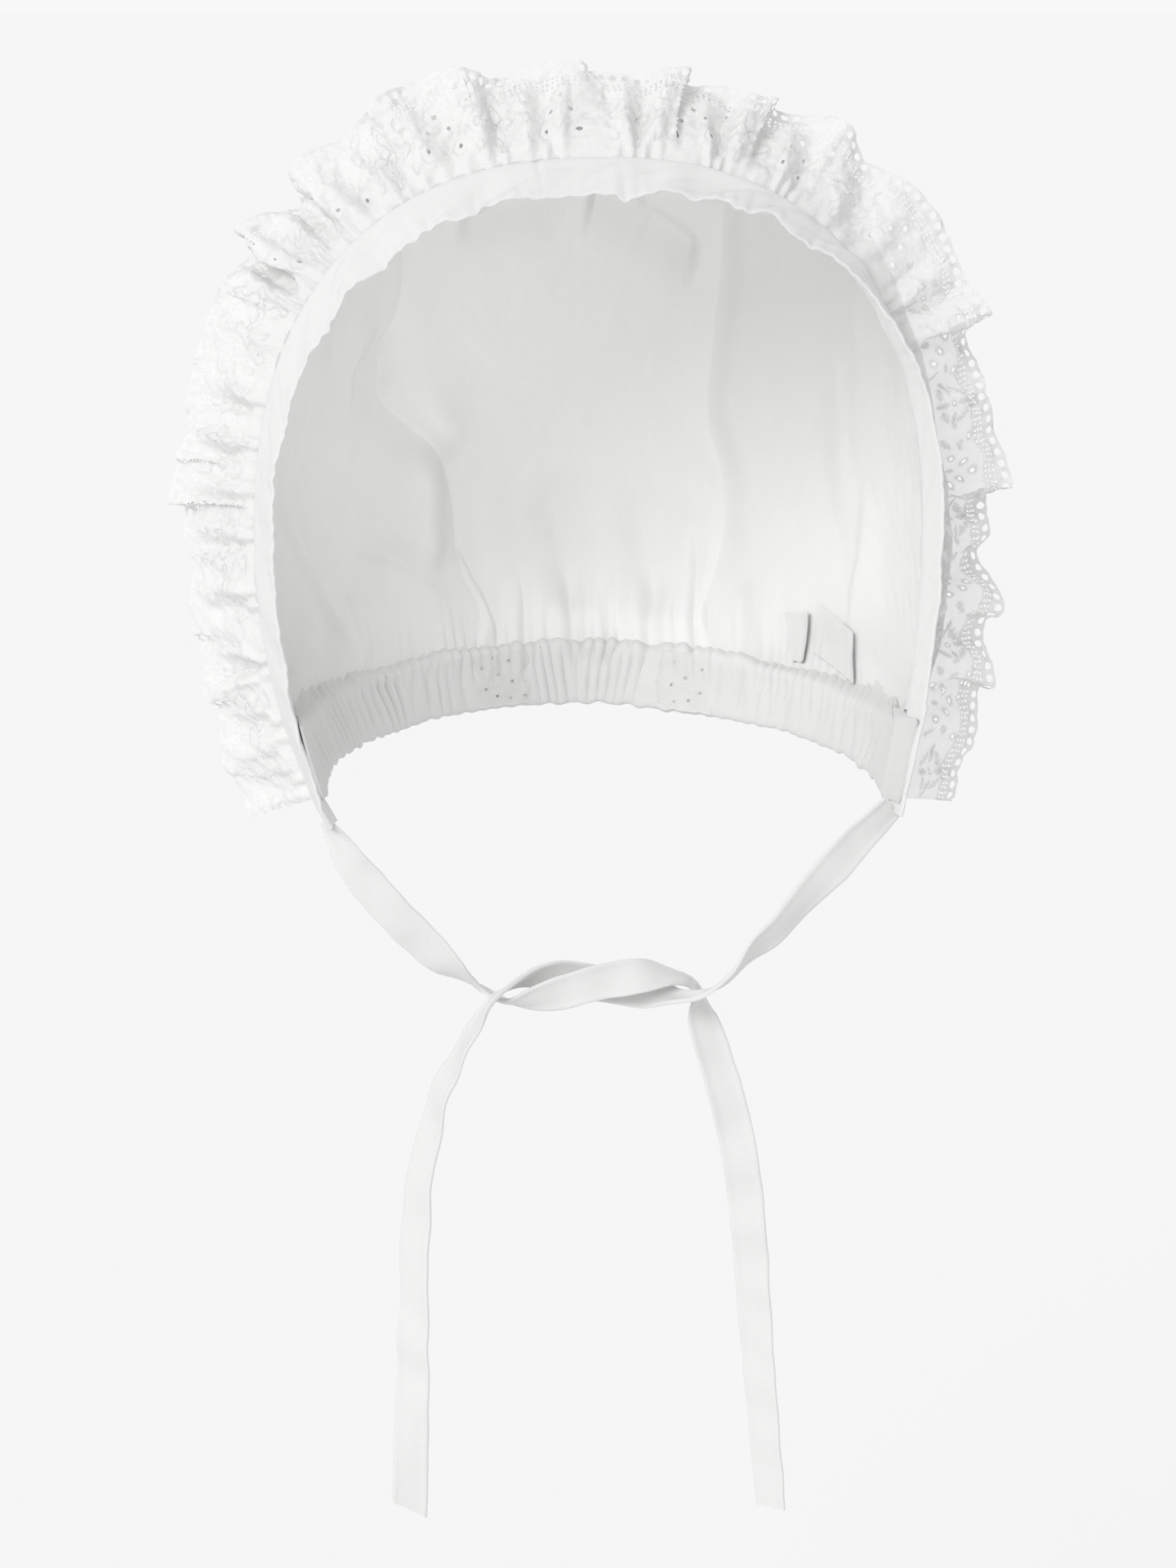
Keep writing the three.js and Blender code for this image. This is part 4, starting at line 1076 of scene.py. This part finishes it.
def excess_pleats(strip, shrink, fine, broad, seed):
    """Pleats that take up the cloth left over where a gathered strip is drawn in to a share of
    its own length: fine ones at the seam, and broad ones that they run into further out."""
    x, y = strip[:, 0], strip[:, 1]
    near = 1 - smoothstep(y, 2, 10)
    total = 0
    for pitch, share, order in ((fine, 0.3 * near, 0), (broad, 1 - near, 1)):
        phase = 2 * math.pi * x / pitch + 2.0 * waves(x, y * 0.7, pitch * 6, seed + order)
        total = total + np.sqrt(share) * pitch / math.pi * np.sin(phase)
    shrink = np.clip(shrink, 0, 1)
    return 0.9 * np.sqrt(shrink * (1 - shrink)) * total


def make_frill():
    folds = len(FOLDS["along"]) - 1
    fine_phase = np.linspace(0, folds, folds * 40 + 1)
    edge_line = frill(fine_phase, np.full_like(fine_phase, FRILL_WIDTH * 0.9))
    edge_run = running_length(edge_line)
    length = edge_run[-1]
    strip, triangles, raised, marks = drop_unused(*FRILL_LACE.strip(length))
    x, y, span = strip[:, 0], strip[:, 1], np.ptp(strip[:, 0])

    def on_strip(dx, dy):
        along = (x + dx - FRILL_LACE.start) * length / span
        return frill(np.interp(along, edge_run, fine_phase), y + dy)

    fold = np.interp(x - FRILL_LACE.start, [0, span], [0, folds])
    along = np.interp(fold, np.arange(folds + 1), FOLDS["along"])
    marks[:, 1] = 1 - (1 - marks[:, 1]) * read(OPENNESS, along, "open")
    base, ahead, up = on_strip(0, 0), on_strip(NORMAL_STEP, 0), on_strip(0, NORMAL_STEP)
    normal = unit(np.cross(ahead - base, up - base))
    shrink = np.linalg.norm(ahead - base, axis=1) / NORMAL_STEP
    crumple = 0.35 * waves(x, y, 11, 42) + 0.2 * waves(x, y, 3.8, 43)
    crumple = (crumple + 0.13 * waves(x, y, 2.6, 46)) * smoothstep(y, 0, 4)
    lift = excess_pleats(strip, shrink, 6.2, 14, 44) + crumple + raised
    points = base + normal * lift[:, None]
    piece = make_piece("face_frill", points, triangles, strip, LACE, "eyelet_lace", marks)


make_frill()


# ---- lace in the crown seams ----

SEAM_LACE_LENGTH = 215
SEAM_LACE = Lace(
    width=16.0, repeat=21.5, depth=2.2, start=5.4, spacing=1.3,
    holes=table(
        "along inside radius ring",
        (10.75, 6.4, 0.7, 0.6), (0, 8.4, 0.5, 0.5), (7.4, 10.2, 0.6, 0.6), (14.1, 10.2, 0.6, 0.6),
    ),
    petals=table("along inside turn length width", *flower(8.4, 2.9, 3.6, 1.5, 60)),
    edge_holes=6, edge_hole=0.7, pins=19, pin_rows=(4.0,),
)
SEAM_LACE_TILTS = (87.5, 5)  # where it starts, behind the front band, and ends, on the casing
SEAM_LACE_LIFT = 0.75  # above the panels' outside


def seam_lace(side):
    total = SEAM_LACE.start + SEAM_LACE_LENGTH + 1
    strip, triangles, raised, marks = drop_unused(*SEAM_LACE.strip(total))
    x, y = strip[:, 0], strip[:, 1]
    top, foot = SEAM_LACE_TILTS
    tilt = top + (foot - top) * ((x - x.min()) / np.ptp(x))
    length = seam_at(tilt, side) - side * (0.5 + y)
    lift = PANEL_WALL / 2 + SEAM_LACE_LIFT + relief(tilt, length)
    lift = lift + 0.25 * waves(x, y, 11, 51) * y / SEAM_LACE.width + raised
    points = sewn(tilt, length, lift)
    faces = triangles if side < 0 else triangles[:, ::-1]
    piece = make_piece(f"seam_lace_{SIDES[side]}", points, faces, strip, LACE, "eyelet_lace", marks)


for side in (-1, 1):
    seam_lace(side)


# The same lace shows where it crosses the casing, in one repeat each: its sewn edge and its holed
# edge, as places along the casing.
CASING_PATCHES = {"left": (-29.5, -12), "right": (38, 19.5)}
CASING_PATCH = Lace(
    width=15.0, repeat=13.6, depth=0.6, start=0.0, spacing=0.7,
    holes=table(
        "along inside radius ring",
        (2.2, 9.6, 0.36, 0.65), (6.4, 8.2, 0.4, 0.7), (11.2, 9.2, 0.36, 0.65), (4.2, 12.4, 0.36, 0.65),
        (9.4, 12.0, 0.38, 0.65), (3.4, 5.4, 0.36, 0.6), (8.2, 4.9, 0.36, 0.6), (12, 5.8, 0.36, 0.6),
    ),
    petals=table("along inside turn length width", (4.6, 9.6, 70, 2.6, 1.2), (8.8, 9.0, 110, 2.6, 1.2)),
    edge_holes=4, edge_hole=0.5,
)


def casing_lace(name, start, end, seed):
    strip, triangles, raised, marks = drop_unused(*CASING_PATCH.one_repeat())
    x, y = strip[:, 0], strip[:, 1]
    length = start + (end - start) * y / CASING_PATCH.width
    inside = np.minimum(y, CASING_PATCH.width - y)
    lift = NAPE_CLOTH / 2 - 0.1 + 0.4 * smoothstep(inside, 0, 2.5) + 0.5 * raised
    lift = lift + 0.12 * waves(x, y, 4, seed)
    points = nape_surface(length, 0.04 + 0.92 * x / CASING_PATCH.repeat, lift)
    faces = triangles if end > start else triangles[:, ::-1]
    piece = make_piece(name, points, faces, strip, CASING_LACE_PAINTED_SHADE, "eyelet_lace", marks,
                       stands_for="nape_band")


casing_lace("casing_lace_left", *CASING_PATCHES["left"], 71)
casing_lace("casing_lace_right", *CASING_PATCHES["right"], 72)


# ---- labels ----

# Corners of each label on the right panel: tilt and distance along the rib, from the upper left on
# round to the lower left.
LABELS = {
    "size_tag": ((11, 57.5), (12, 67), (6.2, 67), (6, 61)),
    "neck_label": ((13.5, 70), (12.2, 88), (5.9, 88.5), (7.5, 69.8)),
}
LABEL_WALL, LABEL_GAP, LABEL_CURL = 0.3, 0.35, 1.1


def label(corners):
    def surface(u, v):
        weights = ((1 - u) * v, u * v, u * (1 - v), (1 - u) * (1 - v))
        tilt, length = (sum(w * c for w, c in zip(weights, column)) for column in zip(*corners))
        curl = LABEL_CURL * u ** 3 + 0.15 * np.sin(6 * u + 2 * v)
        return sewn(tilt, length, relief(tilt, length) - PANEL_WALL / 2 - LABEL_GAP - curl)
    return surface


for name, corners in LABELS.items():
    make_piece(name, *shell(label(corners), 24, 16, LABEL_WALL, (12, 10)), LABEL, "label")


# ---- floor and light ----

FLOOR_BELOW, FLOOR_HALF = 0.25, 60.0  # metres
floor_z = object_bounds()[0].z - FLOOR_BELOW
floor_corners = [
    (x * FLOOR_HALF, y * FLOOR_HALF, floor_z) for x, y in ((-1, -1), (1, -1), (1, 1), (-1, 1))
]
floor_mesh = bpy.data.meshes.new("floor")
floor_mesh.from_pydata(floor_corners, [], [(0, 1, 2, 3)])
floor = add_object("floor", floor_mesh)
floor_material = bpy.data.materials.new("pale_floor")
floor_material.use_nodes = True
floor_tree = floor_material.node_tree
connect(floor_tree, floor_tree.nodes["Principled BSDF"], {
    "Base Color": (0.95, 0.95, 0.95, 1), "Roughness": 1.0, "Specular IOR Level": 0.0,
})
floor_mesh.materials.append(floor_material)

world = bpy.data.worlds.new("studio")
world.use_nodes = True
# the white that the camera sees is a little brighter than the light that it gives
seen = node(world.node_tree, "ShaderNodeLightPath", {}).outputs["Is Camera Ray"]
strength = node(world.node_tree, "ShaderNodeMapRange", {"Value": seen, "To Min": 0.74, "To Max": 0.94})
connect(world.node_tree, world.node_tree.nodes["Background"], {
    "Color": (1, 1, 1, 1), "Strength": strength.outputs["Result"],
})
bpy.context.scene.world = world


def light(name, kind, energy, location=(0, 0, 0), towards=(0, 0, -1), **settings):
    data = bpy.data.lights.new(name, kind)
    data.energy = energy
    for key, value in settings.items():
        setattr(data, key, value)
    lamp = add_object(name, data)
    lamp.location = location
    lamp.visible_camera = False
    aim(lamp, towards)


light("key", "SUN", 1.4, towards=(0.62, 1.0, -0.6), angle=math.radians(32))
light("side", "SUN", 0.22, towards=(1.0, 0.25, -0.35), angle=math.radians(90))
# two small lamps, one where the head would be and one inside the brim, lift the lining's shade
light("fill", "POINT", 0.029, location=place((-8, 50, 76)).tolist(), shadow_soft_size=0.025)
light("lining", "SPOT", 0.07, location=place((-40, 12, 112)).tolist(), towards=(60, 100, -50),
      spot_size=math.radians(130), spot_blend=1.0, shadow_soft_size=0.012)
bpy.context.scene.view_settings.view_transform = "Standard"
